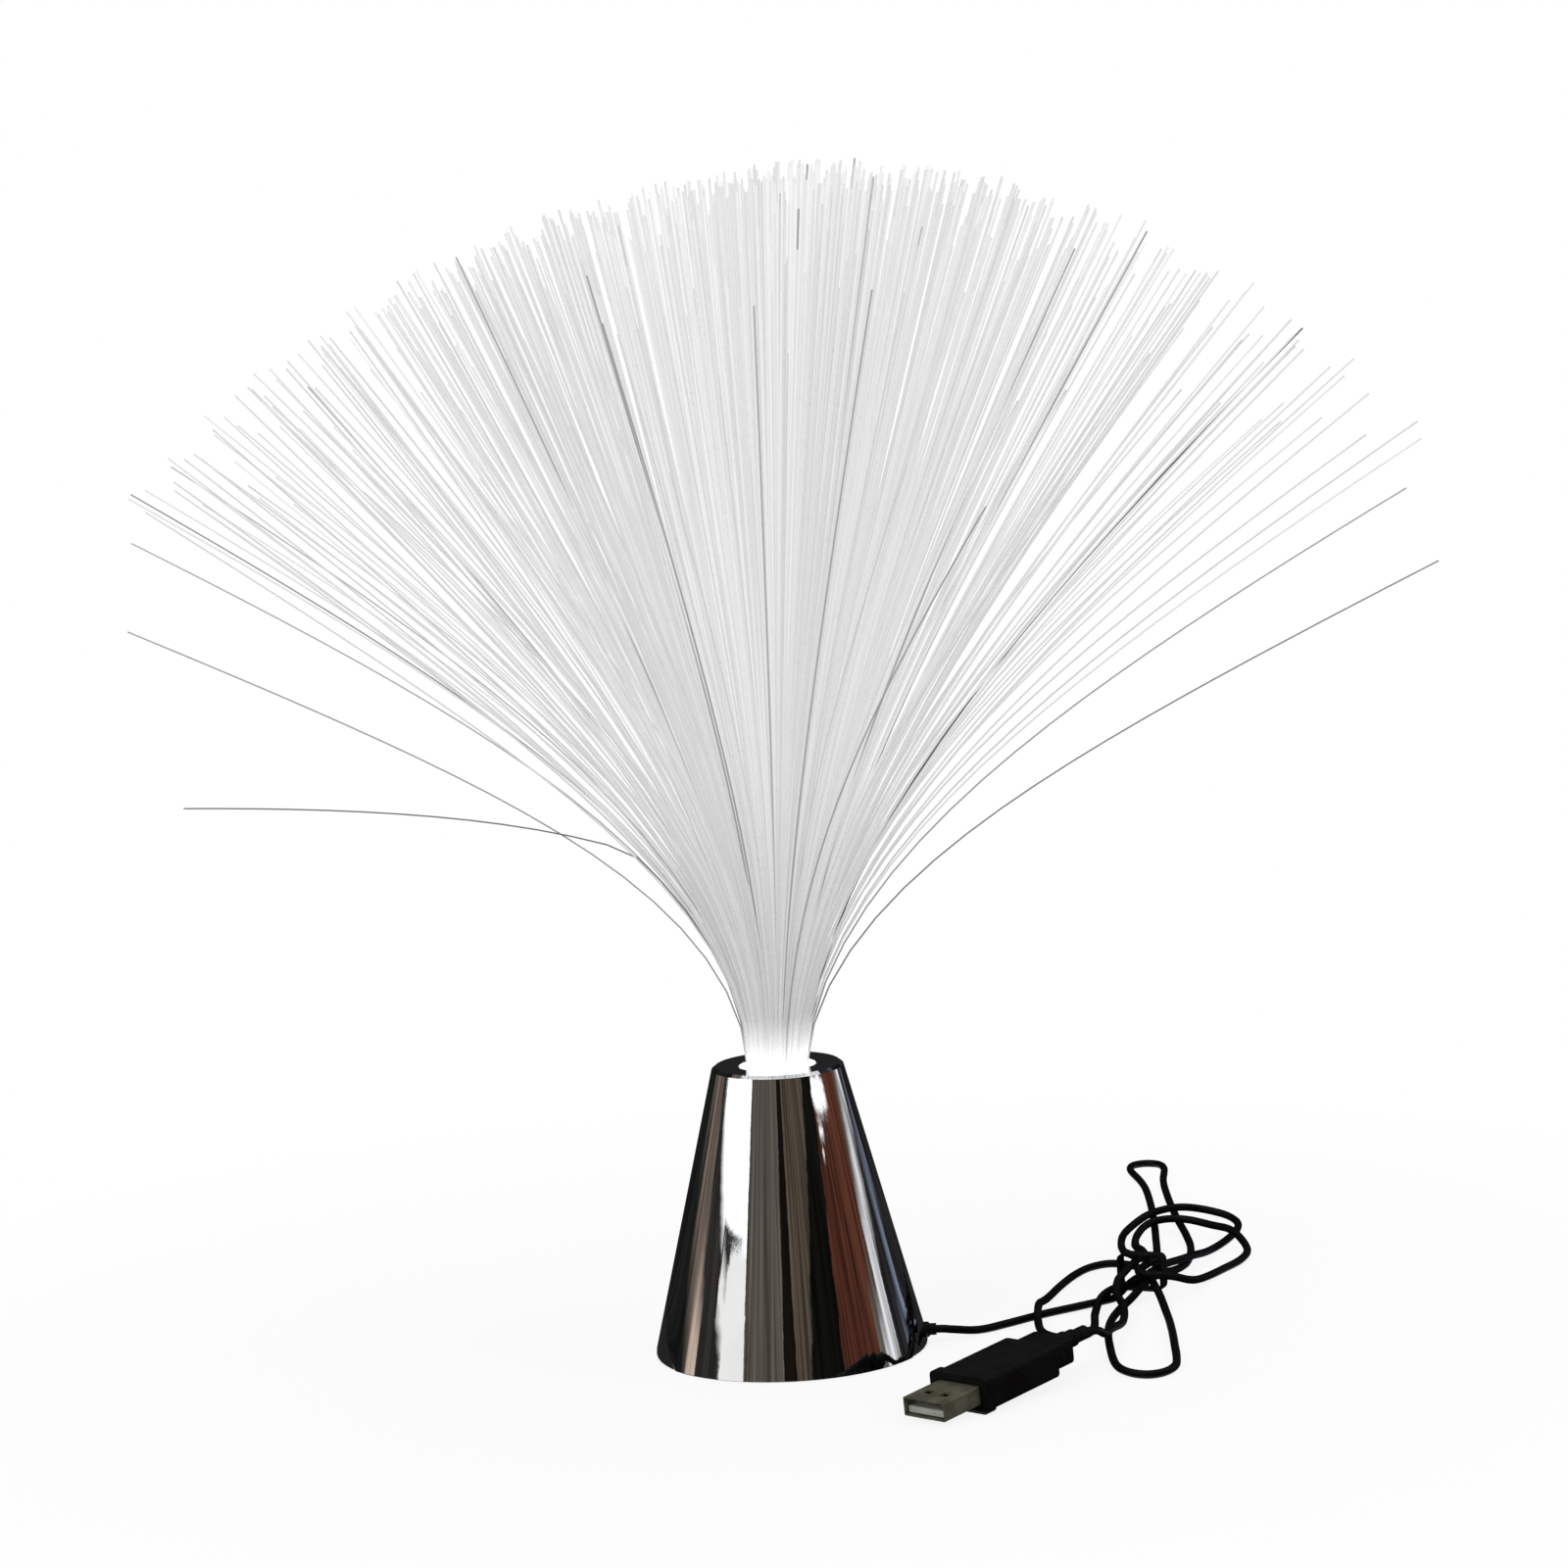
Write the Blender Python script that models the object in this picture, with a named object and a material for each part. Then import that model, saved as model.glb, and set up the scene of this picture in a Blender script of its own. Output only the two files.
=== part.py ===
"""Fibre optic lamp: a chromed cone with a lit spray of plastic fibres, a cord and its plug.

Lengths are in metres and Z is up. The origin is on the cone's axis, level with the surface
that the lamp stands on. The cord leaves the cone towards +X.
"""

import math

import bmesh
import bpy
from mathutils import Matrix, Vector

# Fits shared by every piece
CLEARANCE = 0.0003
OVERRUN = 0.002
ROUND_SEGMENTS = 64
INNER_SEGMENTS = 40
SMALL_SEGMENTS = 16
SMOOTH_ANGLE = math.radians(35)
MERGE_DISTANCE = 0.000001

# Base shell
BASE_DIAMETER = 0.066
BASE_TOP_DIAMETER = 0.0314
BASE_HEIGHT = 0.070
SHELL_WALL = 0.0020
SHELL_TOP = 0.0025
SHELL_LIFT = 0.0004
RIM_CHAMFER = 0.0007
TOP_HOLE_DIAMETER = 0.0187
HOLE_CHAMFER = 0.0003

# Anti-slip pad and bottom cover
PAD_THICKNESS = 0.0016
PAD_INSET = 0.0036
PAD_EDGE_WIDTH = 0.0016
COVER_THICKNESS = 0.0020
COVER_RING_HEIGHT = 0.0040
COVER_RING_WALL = 0.0010
COVER_RING_INSET = 0.0016

# Screws that hold the cover and the circuit board
SCREW_RADIUS = 0.0013
SCREW_HEAD_RADIUS = 0.0026
SCREW_HEAD_HEIGHT = 0.0012
SCREW_LENGTH = 0.0110
BOARD_SCREW_LENGTH = 0.0068
SCREW_SLOT_WIDTH = 0.0006
SCREW_SLOT_DEPTH = 0.0006
SCREW_SLOT_SHARE = 0.6
COVER_SCREW_ANGLES = (90, 210, 330)
BOSS_RADIUS = 0.0032
BOSS_SINK = 0.0012
PAD_HOLE_MARGIN = 0.0007

# Circuit board and what stands on it
BOARD_MARGIN = 0.0006
BOARD_THICKNESS = 0.0016
BOARD_HEIGHT = 0.0109
POST_RADIUS = 0.0026
POST_ANGLES = (40, 140)
POST_INSET = 0.0031
CHIP_SIZE = (0.0049, 0.0039, 0.0015)
CHIP_INSET = 0.0032
RESISTOR_SIZE = (0.0032, 0.0016, 0.0006)
RESISTOR_INSET = 0.0029
RESISTOR_ANGLES = (185, 203)
CAPACITOR_RADIUS = 0.0025
CAPACITOR_HEIGHT = 0.0050
CAPACITOR_INSET = 0.0027
CAPACITOR_ANGLE = -34
PART_BEVEL = 0.0002

# Light source
LED_RADIUS = 0.0025
LED_HEIGHT = 0.0086
LED_FLANGE_WIDTH = 0.0004
LED_FLANGE_HEIGHT = 0.0010
LED_LIFT = 0.0056
LED_LEAD_WIDTH = 0.0005
LED_LEAD_SPACING = 0.00254
LED_LEAD_TAIL = 0.0013
LEAD_HOLE_RADIUS = 0.00065

# Fibre bundle and what holds it
BUNDLE_RADIUS = 0.00725
BUNDLE_FOOT = 0.0320
FERRULE_LENGTH = 0.0100
FERRULE_WALL = 0.00135
COLLAR_RECESS = 0.0006
CUP_RADIUS = 0.0115
CUP_SOCKET_DEPTH = 0.0060
CUP_WALL = 0.0017
CUP_FLOOR = 0.0015
CUP_MOUTH_INSET = 0.0007

# Fibres: three-sided strands that grow from the bundle's head
FIBRE_PITCH = 0.000755
FIBRE_LENGTH = 0.2125
FIBRE_LENGTH_SPREAD = 0.0060
FIBRE_TIP_SHARE = 0.75
FIBRE_BEND_LENGTH = 0.052
FIBRE_FAN_ANGLE = math.radians(46)
FIBRE_STRAY_ANGLE = math.radians(25)
FIBRE_STRAY_POWER = 8
FIBRE_LEAN_SHARE = 0.058
INNER_RING_SHARES = (0.14, 0.42, 1.0)
OUTER_RING_SHARES = (0.09, 0.24, 0.5, 1.0)
OUTER_RADIUS_SHARE = 0.78
PATH_STEPS = 60
GOLDEN_SHARE = (math.sqrt(5) - 1) / 2

# Slide switch under the base
SWITCH_PLACE = (0.0, -0.0145)
SWITCH_TRAVEL = 0.0025
SWITCH_LENGTH = 0.0100
SWITCH_WIDTH = 0.0056
SWITCH_FLOOR = 0.0008
SWITCH_ROOF = 0.0008
SLIDER_LENGTH = 0.0040
SLIDER_WIDTH = 0.0030
SLIDER_HEIGHT = 0.0020
KNOB_LENGTH = 0.0024
KNOB_WIDTH = 0.0020
KNOB_LIFT = 0.0005
PAD_WINDOW_LENGTH = 0.0120
PAD_WINDOW_WIDTH = 0.0070
TERMINAL_WIDTH = 0.0008
TERMINAL_THICKNESS = 0.0004
TERMINAL_SPACING = 0.0030

# Cord, its outlet and its tie
CORD_DIAMETER = 0.0020
CORD_HEIGHT = 0.0029
CORD_GAP = 0.0007
CORD_JOINT_GAP = 0.0005
GROMMET_RADIUS = 0.0019
GROMMET_FLANGE = 0.0026
GROMMET_FLANGE_LENGTH = 0.0012
GROMMET_NOSE_RADIUS = 0.00145
GROMMET_NOSE_LENGTH = 0.0015
GROMMET_SHOULDER = 0.0004
WIRE_RADIUS = 0.00045
WIRE_SPREAD = 0.0008
WIRE_LANDING = (0.0168, 0.0030)
WIRE_POINTS = 10
TIE_PLACE = (0.088, 0.040)
TIE_HEADING = math.radians(66)
TIE_LENGTH = 0.0040
TIE_THICKNESS = 0.0006
TIE_RUN = 0.0120
TIE_SAMPLES = 12
COLUMN_STEP = CORD_DIAMETER + CORD_GAP
HUMP_LENGTH = 0.0125
LAY_STEP = 0.0010
LAY_PASSES = 8
VALLEY_PASSES = 12
VALLEY_REACH = 0.0030
LOOP_POINT_STEP = 0.0085
LOOP_POINT_TURN = math.radians(31)
CORD_POINT_STEP = 0.0048
LEAD_ROUTE = ((0.0430, 0.0020), (0.0520, 0.0086), (0.0620, 0.0165), (0.0708, 0.0222))
TAIL_ROUTE = ((0.0800, 0.0205), (0.0810, 0.0100), (0.0795, -0.0020), (0.0755, -0.0140))

# Each run of the tied cord: the tie's column that it passes, the way through it (1 is onwards)
# and the free points that follow
LOOPS = (
    (-1, 1, (
        (0.0890, 0.0520), (0.0886, 0.0575), (0.0860, 0.0626), (0.0813, 0.0646), (0.0766, 0.0618),
        (0.0728, 0.0560), (0.0693, 0.0480), (0.0658, 0.0380), (0.0623, 0.0250), (0.0602, 0.0120),
        (0.0598, 0.0020), (0.0606, -0.0030), (0.0630, -0.0068), (0.0663, -0.0082),
        (0.0698, -0.0068), (0.0722, -0.0030), (0.0733, 0.0030), (0.0742, 0.0130), (0.0770, 0.0235),
    )),
    (0, 1, (
        (0.0926, 0.0560), (0.0942, 0.0700), (0.0956, 0.0900), (0.0968, 0.1100), (0.0976, 0.1300),
        (0.0978, 0.1480), (0.0972, 0.1580), (0.0962, 0.1660), (0.0957, 0.1710), (0.0959, 0.1752),
        (0.0973, 0.1782), (0.1003, 0.1795), (0.1033, 0.1782), (0.1047, 0.1752), (0.1049, 0.1710),
        (0.1044, 0.1660), (0.1035, 0.1580), (0.1030, 0.1480), (0.1028, 0.1300), (0.1030, 0.1100),
        (0.1036, 0.0920), (0.1034, 0.0760), (0.1012, 0.0620), (0.0976, 0.0525),
    )),
    (1, -1, (
        (0.0846, 0.0260), (0.0806, 0.0170), (0.0775, 0.0060), (0.0759, -0.0060), (0.0753, -0.0200),
        (0.0753, -0.0330), (0.0763, -0.0395), (0.0790, -0.0442), (0.0826, -0.0459),
        (0.0862, -0.0442), (0.0889, -0.0395), (0.0899, -0.0330), (0.0906, -0.0200),
        (0.0912, -0.0060), (0.0914, 0.0080), (0.0909, 0.0210),
    )),
    (1.5, 1, (
        (0.0985, 0.0520), (0.1035, 0.0620), (0.1085, 0.0730), (0.1135, 0.0840), (0.1170, 0.0940),
        (0.1180, 0.1030), (0.1154, 0.1104), (0.1095, 0.1138), (0.1025, 0.1123), (0.0967, 0.1080),
        (0.0914, 0.1020), (0.0878, 0.0950), (0.0863, 0.0860), (0.0860, 0.0760), (0.0866, 0.0640),
        (0.0893, 0.0525),
    )),
    (0.5, -1, (
        (0.0866, 0.0306), (0.0879, 0.0276), (0.0914, 0.0263), (0.0954, 0.0286), (0.0993, 0.0350),
        (0.1035, 0.0430), (0.1090, 0.0520), (0.1145, 0.0610), (0.1173, 0.0700), (0.1159, 0.0805),
        (0.1117, 0.0895), (0.1060, 0.0970), (0.1000, 0.0996), (0.0944, 0.0964), (0.0908, 0.0895),
        (0.0894, 0.0800), (0.0888, 0.0690), (0.0880, 0.0570),
    )),
    (-0.5, -1, ()),
)

# Plug, lying nose down on the surface
PLUG_NOSE = (0.0290, -0.0745)
PLUG_HEADING = math.radians(48)
PLUG_TILT = math.radians(4.5)
PLUG_BODY_LENGTH = 0.0270
PLUG_BODY_WIDTH = 0.0158
PLUG_BODY_THICKNESS = 0.0078
PLUG_LIP_LENGTH = 0.0030
PLUG_LIP_STEP = 0.0004
PLUG_BODY_BEVEL = 0.0012
PLUG_NECK_LENGTH = 0.0080
PLUG_NECK_WIDTH = 0.0120
PLUG_NECK_THICKNESS = 0.0064
RELIEF_LENGTH = 0.0120
RELIEF_RADIUS = 0.0029
RELIEF_END_RADIUS = 0.0017
RELIEF_RIBS = 4
RELIEF_GROOVE = 0.0005
SHELL_WIDTH = 0.0120
SHELL_THICKNESS = 0.0045
SHELL_SHEET = 0.00035
SHELL_REACH = 0.0125
SHELL_SEAT = 0.0060
SHELL_WINDOW = 0.0022
SHELL_WINDOW_SPACING = 0.0048
SHELL_WINDOW_PLACE = 0.0050
TONGUE_THICKNESS = 0.0015
TONGUE_INSET = 0.0010
TONGUE_REACH = 0.0105
CONTACT_WIDTH = 0.0011
CONTACT_THICKNESS = 0.00025
CONTACT_LENGTH = 0.0074
CONTACT_SPACING = 0.0022
CONTACT_COUNT = 4

# Colours, as linear red, green and blue
BLACK = (0.012, 0.012, 0.013)
WHITE = (0.85, 0.86, 0.88)
CHROME = (0.86, 0.87, 0.89)
STEEL = (0.55, 0.55, 0.56)
NICKEL = (0.62, 0.60, 0.54)
GOLD = (0.83, 0.62, 0.25)
BOARD_GREEN = (0.02, 0.16, 0.07)
CLEAR_WHITE = (0.93, 0.95, 0.98)
RED = (0.55, 0.02, 0.02)

# Heights worked out from the sizes above
COVER_BOTTOM = PAD_THICKNESS + CLEARANCE
COVER_TOP = COVER_BOTTOM + COVER_THICKNESS
BOARD_TOP = BOARD_HEIGHT + BOARD_THICKNESS
ON_BOARD = BOARD_TOP + CLEARANCE
LED_FOOT = ON_BOARD + LED_LIFT
BUNDLE_HEAD = BASE_HEIGHT - CLEARANCE
FERRULE_INNER = BUNDLE_RADIUS + CLEARANCE
FERRULE_OUTER = FERRULE_INNER + FERRULE_WALL
FERRULE_HEAD = BUNDLE_FOOT + FERRULE_LENGTH
CUP_LEDGE = BUNDLE_FOOT - CLEARANCE
SWITCH_FOOT = COVER_TOP + CLEARANCE
SLIDER_FOOT = SWITCH_FOOT + SWITCH_FLOOR + CLEARANCE
SLIDER_HEAD = SLIDER_FOOT + SLIDER_HEIGHT
SWITCH_HEAD = SLIDER_HEAD + CLEARANCE + SWITCH_ROOF
CORD_RADIUS = CORD_DIAMETER / 2
TIE_FLOOR = TIE_THICKNESS + CLEARANCE


def clear_scene():
    for obj in list(bpy.data.objects):
        bpy.data.objects.remove(obj, do_unlink=True)


def material(name, colour, roughness, metallic=0.0):
    made = bpy.data.materials.get(name) or bpy.data.materials.new(name)
    made.use_nodes = True
    made.diffuse_color = (*colour, 1)
    shader = made.node_tree.nodes["Principled BSDF"]
    shader.inputs["Base Color"].default_value = (*colour, 1)
    shader.inputs["Roughness"].default_value = roughness
    shader.inputs["Metallic"].default_value = metallic
    return made


def add_object(name, data, finish=None):
    obj = bpy.data.objects.new(name, data)
    bpy.context.scene.collection.objects.link(obj)
    if finish:
        data.materials.append(finish)
    return obj


def add_mesh(name, shape, finish=None, smooth=True):
    """Ends a bmesh as an object, with its faces turned outwards."""
    bmesh.ops.recalc_face_normals(shape, faces=shape.faces)
    mesh = bpy.data.meshes.new(name)
    shape.to_mesh(mesh)
    shape.free()
    if smooth:
        mesh.shade_smooth()
        mesh.set_sharp_from_angle(angle=SMOOTH_ANGLE)
    return add_object(name, mesh, finish)


def as_cutter(obj):
    obj.hide_render = True
    obj.display_type = "WIRE"
    return obj


def combine(obj, other, operation):
    as_cutter(other)
    modifier = obj.modifiers.new(f"{operation.lower()} {other.name}", "BOOLEAN")
    modifier.operation = operation
    modifier.solver = "EXACT"
    modifier.object = other


def turned(shape, profile, segments=ROUND_SEGMENTS):
    """Adds the closed outline of (radius, height) points turned about Z."""
    points = [shape.verts.new((radius, 0, height)) for radius, height in profile]
    ring = [shape.edges.new(pair) for pair in zip(points, points[1:] + points[:1])]
    on_axis = {edge for edge in ring if all(v.co.x == 0 for v in edge.verts)}
    for edge in on_axis:
        shape.edges.remove(edge)
    edges = [edge for edge in ring if edge not in on_axis]
    bmesh.ops.spin(
        shape,
        geom=points + edges,
        axis=(0, 0, 1),
        cent=(0, 0, 0),
        dvec=(0, 0, 0),
        angle=math.tau,
        steps=segments,
        use_merge=True,
    )
    bmesh.ops.remove_doubles(shape, verts=shape.verts, dist=MERGE_DISTANCE)


def turned_piece(name, profile, finish, segments=ROUND_SEGMENTS):
    shape = bmesh.new()
    turned(shape, profile, segments)
    return add_mesh(name, shape, finish)


def add_box(shape, low, high):
    size = Vector(high) - Vector(low)
    middle = (Vector(high) + Vector(low)) / 2
    bmesh.ops.create_cube(shape, size=1, matrix=Matrix.Translation(middle) @ Matrix.Diagonal((*size, 1)))


def box_piece(name, low, high, finish=None, bevel=0.0):
    shape = bmesh.new()
    add_box(shape, low, high)
    obj = add_mesh(name, shape, finish, smooth=bevel > 0)
    if bevel:
        modifier = obj.modifiers.new("rounded edges", "BEVEL")
        modifier.width = bevel
        modifier.segments = 1
    return obj


def add_rod(shape, place, low, high, radius, segments=SMALL_SEGMENTS):
    middle = Matrix.Translation((place[0], place[1], (low + high) / 2))
    half_step = Matrix.Rotation(math.pi / segments / 2, 4, "Z")
    bmesh.ops.create_cone(
        shape, cap_ends=True, segments=segments, radius1=radius, radius2=radius,
        depth=high - low, matrix=middle @ half_step,
    )


def rods(name, places, low, high, radius, segments=SMALL_SEGMENTS):
    shape = bmesh.new()
    for place in places:
        add_rod(shape, place, low, high, radius, segments)
    return add_mesh(name, shape)


def on_circle(radius, degrees):
    return (radius * math.cos(math.radians(degrees)), radius * math.sin(math.radians(degrees)))


def shell_slope():
    """How much the shell's radius shrinks with each unit of height."""
    return (BASE_DIAMETER - BASE_TOP_DIAMETER) / 2 / (BASE_HEIGHT - SHELL_LIFT)


def shell_outer(height):
    return BASE_DIAMETER / 2 - shell_slope() * (height - SHELL_LIFT)


def shell_inner(height):
    return shell_outer(height) - SHELL_WALL


def pad_radius():
    return shell_inner(SHELL_LIFT) - PAD_INSET


def cover_screw_circle():
    return pad_radius() - PAD_EDGE_WIDTH - PAD_HOLE_MARGIN - SCREW_HEAD_RADIUS


def cover_screw_places():
    return [on_circle(cover_screw_circle(), angle) for angle in COVER_SCREW_ANGLES]


def boss_top():
    """The height at which the screw bosses have run into the shell's wall."""
    reach = cover_screw_circle() + BOSS_RADIUS - BOSS_SINK
    return SHELL_LIFT + (shell_inner(SHELL_LIFT) - reach) / shell_slope()


def board_radius():
    return cover_screw_circle() - BOSS_RADIUS - BOARD_MARGIN


def post_places():
    return [on_circle(board_radius() - POST_INSET, angle) for angle in POST_ANGLES]


def build_base_shell():
    hole = TOP_HOLE_DIAMETER / 2
    under_top = BASE_HEIGHT - SHELL_TOP
    profile = [
        (shell_outer(SHELL_LIFT), SHELL_LIFT),
        (shell_outer(BASE_HEIGHT - RIM_CHAMFER), BASE_HEIGHT - RIM_CHAMFER),
        (shell_outer(BASE_HEIGHT) - RIM_CHAMFER, BASE_HEIGHT),
        (hole + HOLE_CHAMFER, BASE_HEIGHT),
        (hole, BASE_HEIGHT - HOLE_CHAMFER),
        (hole, under_top),
        (shell_inner(under_top), under_top),
        (shell_inner(SHELL_LIFT), SHELL_LIFT),
    ]
    shell = turned_piece("base_shell", profile, material("chrome", CHROME, 0.06, 1.0))
    foot = COVER_TOP + CLEARANCE
    bosses = rods("shell_bosses", cover_screw_places(), foot, boss_top(), BOSS_RADIUS)
    combine(shell, bosses, "UNION")
    pilot_top = COVER_BOTTOM + SCREW_LENGTH + OVERRUN
    pilots = rods(
        "boss_holes", cover_screw_places(), foot - OVERRUN, pilot_top, SCREW_RADIUS + CLEARANCE
    )
    combine(shell, pilots, "DIFFERENCE")
    combine(shell, outlet_slot("shell_slot", shell_inner(BASE_HEIGHT)), "DIFFERENCE")


def outlet_slot(name, inner_end):
    """The slot that the cord's outlet stands in, open at the shell's lower edge."""
    half = GROMMET_RADIUS + CLEARANCE
    outer_end = BASE_DIAMETER / 2 + OVERRUN
    shape = bmesh.new()
    steps = SMALL_SEGMENTS // 2
    arc = [math.pi * step / steps for step in range(steps + 1)]
    outline = [(half * math.cos(angle), CORD_HEIGHT + half * math.sin(angle)) for angle in arc]
    outline += [(-half, -OVERRUN), (half, -OVERRUN)]
    face = shape.faces.new([shape.verts.new((inner_end, y, z)) for y, z in outline])
    pushed = bmesh.ops.extrude_face_region(shape, geom=[face])["geom"]
    moved = [item for item in pushed if isinstance(item, bmesh.types.BMVert)]
    bmesh.ops.translate(shape, vec=(outer_end - inner_end, 0, 0), verts=moved)
    return add_mesh(name, shape)


def build_pad():
    radius = pad_radius()
    profile = [(0, 0), (radius, 0), (radius, PAD_THICKNESS), (0, PAD_THICKNESS)]
    pad = turned_piece("anti_slip_pad", profile, material("pad foam", BLACK, 0.9), INNER_SEGMENTS)
    holes = rods(
        "pad_holes", cover_screw_places(), -OVERRUN, PAD_THICKNESS + OVERRUN,
        SCREW_HEAD_RADIUS + PAD_HOLE_MARGIN,
    )
    combine(pad, holes, "DIFFERENCE")
    x, y = SWITCH_PLACE
    low = (x - PAD_WINDOW_LENGTH / 2, y - PAD_WINDOW_WIDTH / 2, -OVERRUN)
    high = (x + PAD_WINDOW_LENGTH / 2, y + PAD_WINDOW_WIDTH / 2, PAD_THICKNESS + OVERRUN)
    combine(pad, box_piece("pad_window", low, high), "DIFFERENCE")


def build_cover():
    radius = shell_inner(COVER_TOP) - CLEARANCE
    ring = radius - COVER_RING_INSET
    ring_top = COVER_TOP + COVER_RING_HEIGHT
    profile = [
        (0, COVER_BOTTOM),
        (radius, COVER_BOTTOM),
        (radius, COVER_TOP),
        (ring, COVER_TOP),
        (ring, ring_top),
        (ring - COVER_RING_WALL, ring_top),
        (ring - COVER_RING_WALL, COVER_TOP),
        (0, COVER_TOP),
    ]
    cover = turned_piece("bottom_cover", profile, material("cover plastic", BLACK, 0.55), INNER_SEGMENTS)
    post_top = BOARD_HEIGHT - CLEARANCE
    posts = rods("cover_posts", post_places(), COVER_TOP - COVER_THICKNESS / 2, post_top, POST_RADIUS)
    combine(cover, posts, "UNION")
    wide = SCREW_RADIUS + CLEARANCE
    post_hole_foot = ON_BOARD - BOARD_SCREW_LENGTH - CLEARANCE
    post_holes = rods("post_holes", post_places(), post_hole_foot, post_top + OVERRUN, wide)
    combine(cover, post_holes, "DIFFERENCE")
    screw_holes = rods(
        "cover_holes", cover_screw_places(), COVER_BOTTOM - OVERRUN, COVER_TOP + OVERRUN, wide
    )
    combine(cover, screw_holes, "DIFFERENCE")
    x, y = SWITCH_PLACE
    half = (KNOB_LENGTH + SWITCH_TRAVEL) / 2 + CLEARANCE
    side = KNOB_WIDTH / 2 + CLEARANCE
    low = (x - half, y - side, COVER_BOTTOM - OVERRUN)
    high = (x + half, y + side, COVER_TOP + OVERRUN)
    combine(cover, box_piece("cover_slot", low, high), "DIFFERENCE")
    notch_inner = grommet_inner_end() - 2 * GROMMET_FLANGE_LENGTH - WIRE_SPREAD
    notch_side = GROMMET_FLANGE + CLEARANCE
    low = (notch_inner, -notch_side, COVER_BOTTOM - OVERRUN)
    high = (radius + OVERRUN, notch_side, ring_top + OVERRUN)
    combine(cover, box_piece("cover_notch", low, high), "DIFFERENCE")


def screw_mesh(name, length):
    """A pan-head screw whose head points down, with the head's seat at height zero."""
    head = SCREW_HEAD_RADIUS
    shape = bmesh.new()
    profile = [
        (0, -SCREW_HEAD_HEIGHT),
        (head - SCREW_HEAD_HEIGHT / 2, -SCREW_HEAD_HEIGHT),
        (head, -SCREW_HEAD_HEIGHT / 2),
        (head, 0),
        (SCREW_RADIUS, 0),
        (SCREW_RADIUS, length - SCREW_RADIUS),
        (SCREW_RADIUS / 2, length),
        (0, length),
    ]
    turned(shape, profile, SMALL_SEGMENTS)
    return add_mesh(name, shape, material("screw steel", STEEL, 0.3, 1.0))


def slot_cross(name):
    shape = bmesh.new()
    long = SCREW_HEAD_RADIUS * SCREW_SLOT_SHARE
    wide = SCREW_SLOT_WIDTH / 2
    foot = -SCREW_HEAD_HEIGHT
    outline = [
        (long, wide), (wide, wide), (wide, long), (-wide, long), (-wide, wide), (-long, wide),
        (-long, -wide), (-wide, -wide), (-wide, -long), (wide, -long), (wide, -wide), (long, -wide),
    ]
    face = shape.faces.new([shape.verts.new((x, y, foot - OVERRUN)) for x, y in outline])
    pushed = bmesh.ops.extrude_face_region(shape, geom=[face])["geom"]
    moved = [item for item in pushed if isinstance(item, bmesh.types.BMVert)]
    bmesh.ops.translate(shape, vec=(0, 0, OVERRUN + SCREW_SLOT_DEPTH), verts=moved)
    return add_mesh(name, shape)


def add_screws(name, places, height, length, head_up=False):
    for number, place in enumerate(places, 1):
        screw = screw_mesh(f"{name}_{number}", length)
        cross = slot_cross(f"{name}_{number}_cross")
        combine(screw, cross, "DIFFERENCE")
        for obj in (screw, cross):
            obj.location = (*place, height)
            obj.rotation_euler = (math.pi if head_up else 0, 0, 0)


def build_screws():
    add_screws("cover_screw", cover_screw_places(), COVER_BOTTOM - CLEARANCE, SCREW_LENGTH)
    add_screws("board_screw", post_places(), ON_BOARD, BOARD_SCREW_LENGTH, head_up=True)


def build_board():
    radius = board_radius()
    profile = [(0, BOARD_HEIGHT), (radius, BOARD_HEIGHT), (radius, BOARD_TOP), (0, BOARD_TOP)]
    board = turned_piece("circuit_board", profile, material("board", BOARD_GREEN, 0.5), INNER_SEGMENTS)
    low, high = BOARD_HEIGHT - OVERRUN, BOARD_TOP + OVERRUN
    wide = SCREW_RADIUS + CLEARANCE
    combine(board, rods("board_holes", post_places(), low, high, wide), "DIFFERENCE")
    leads = [(side * LED_LEAD_SPACING / 2, 0) for side in (-1, 1)]
    combine(board, rods("lead_holes", leads, low, high, LEAD_HOLE_RADIUS), "DIFFERENCE")


def box_on_board(name, place, size, finish):
    low = (place[0] - size[0] / 2, place[1] - size[1] / 2, ON_BOARD)
    high = (place[0] + size[0] / 2, place[1] + size[1] / 2, ON_BOARD + size[2])
    return box_piece(name, low, high, finish, PART_BEVEL)


def build_board_parts():
    package = material("moulded package", BLACK, 0.5)
    box_on_board("controller_chip", (0, board_radius() - CHIP_INSET), CHIP_SIZE, package)
    ceramic = material("resistor ceramic", BLACK, 0.35)
    circle = board_radius() - RESISTOR_INSET
    for number, angle in enumerate(RESISTOR_ANGLES, 1):
        box_on_board(f"resistor_{number}", on_circle(circle, angle), RESISTOR_SIZE, ceramic)
    top = ON_BOARD + CAPACITOR_HEIGHT
    can = [
        (0, ON_BOARD),
        (CAPACITOR_RADIUS, ON_BOARD),
        (CAPACITOR_RADIUS, top - PART_BEVEL),
        (CAPACITOR_RADIUS - PART_BEVEL, top),
        (0, top),
    ]
    capacitor = turned_piece("capacitor", can, material("can", STEEL, 0.4, 1.0), SMALL_SEGMENTS)
    capacitor.location = (*on_circle(board_radius() - CAPACITOR_INSET, CAPACITOR_ANGLE), 0)


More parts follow.
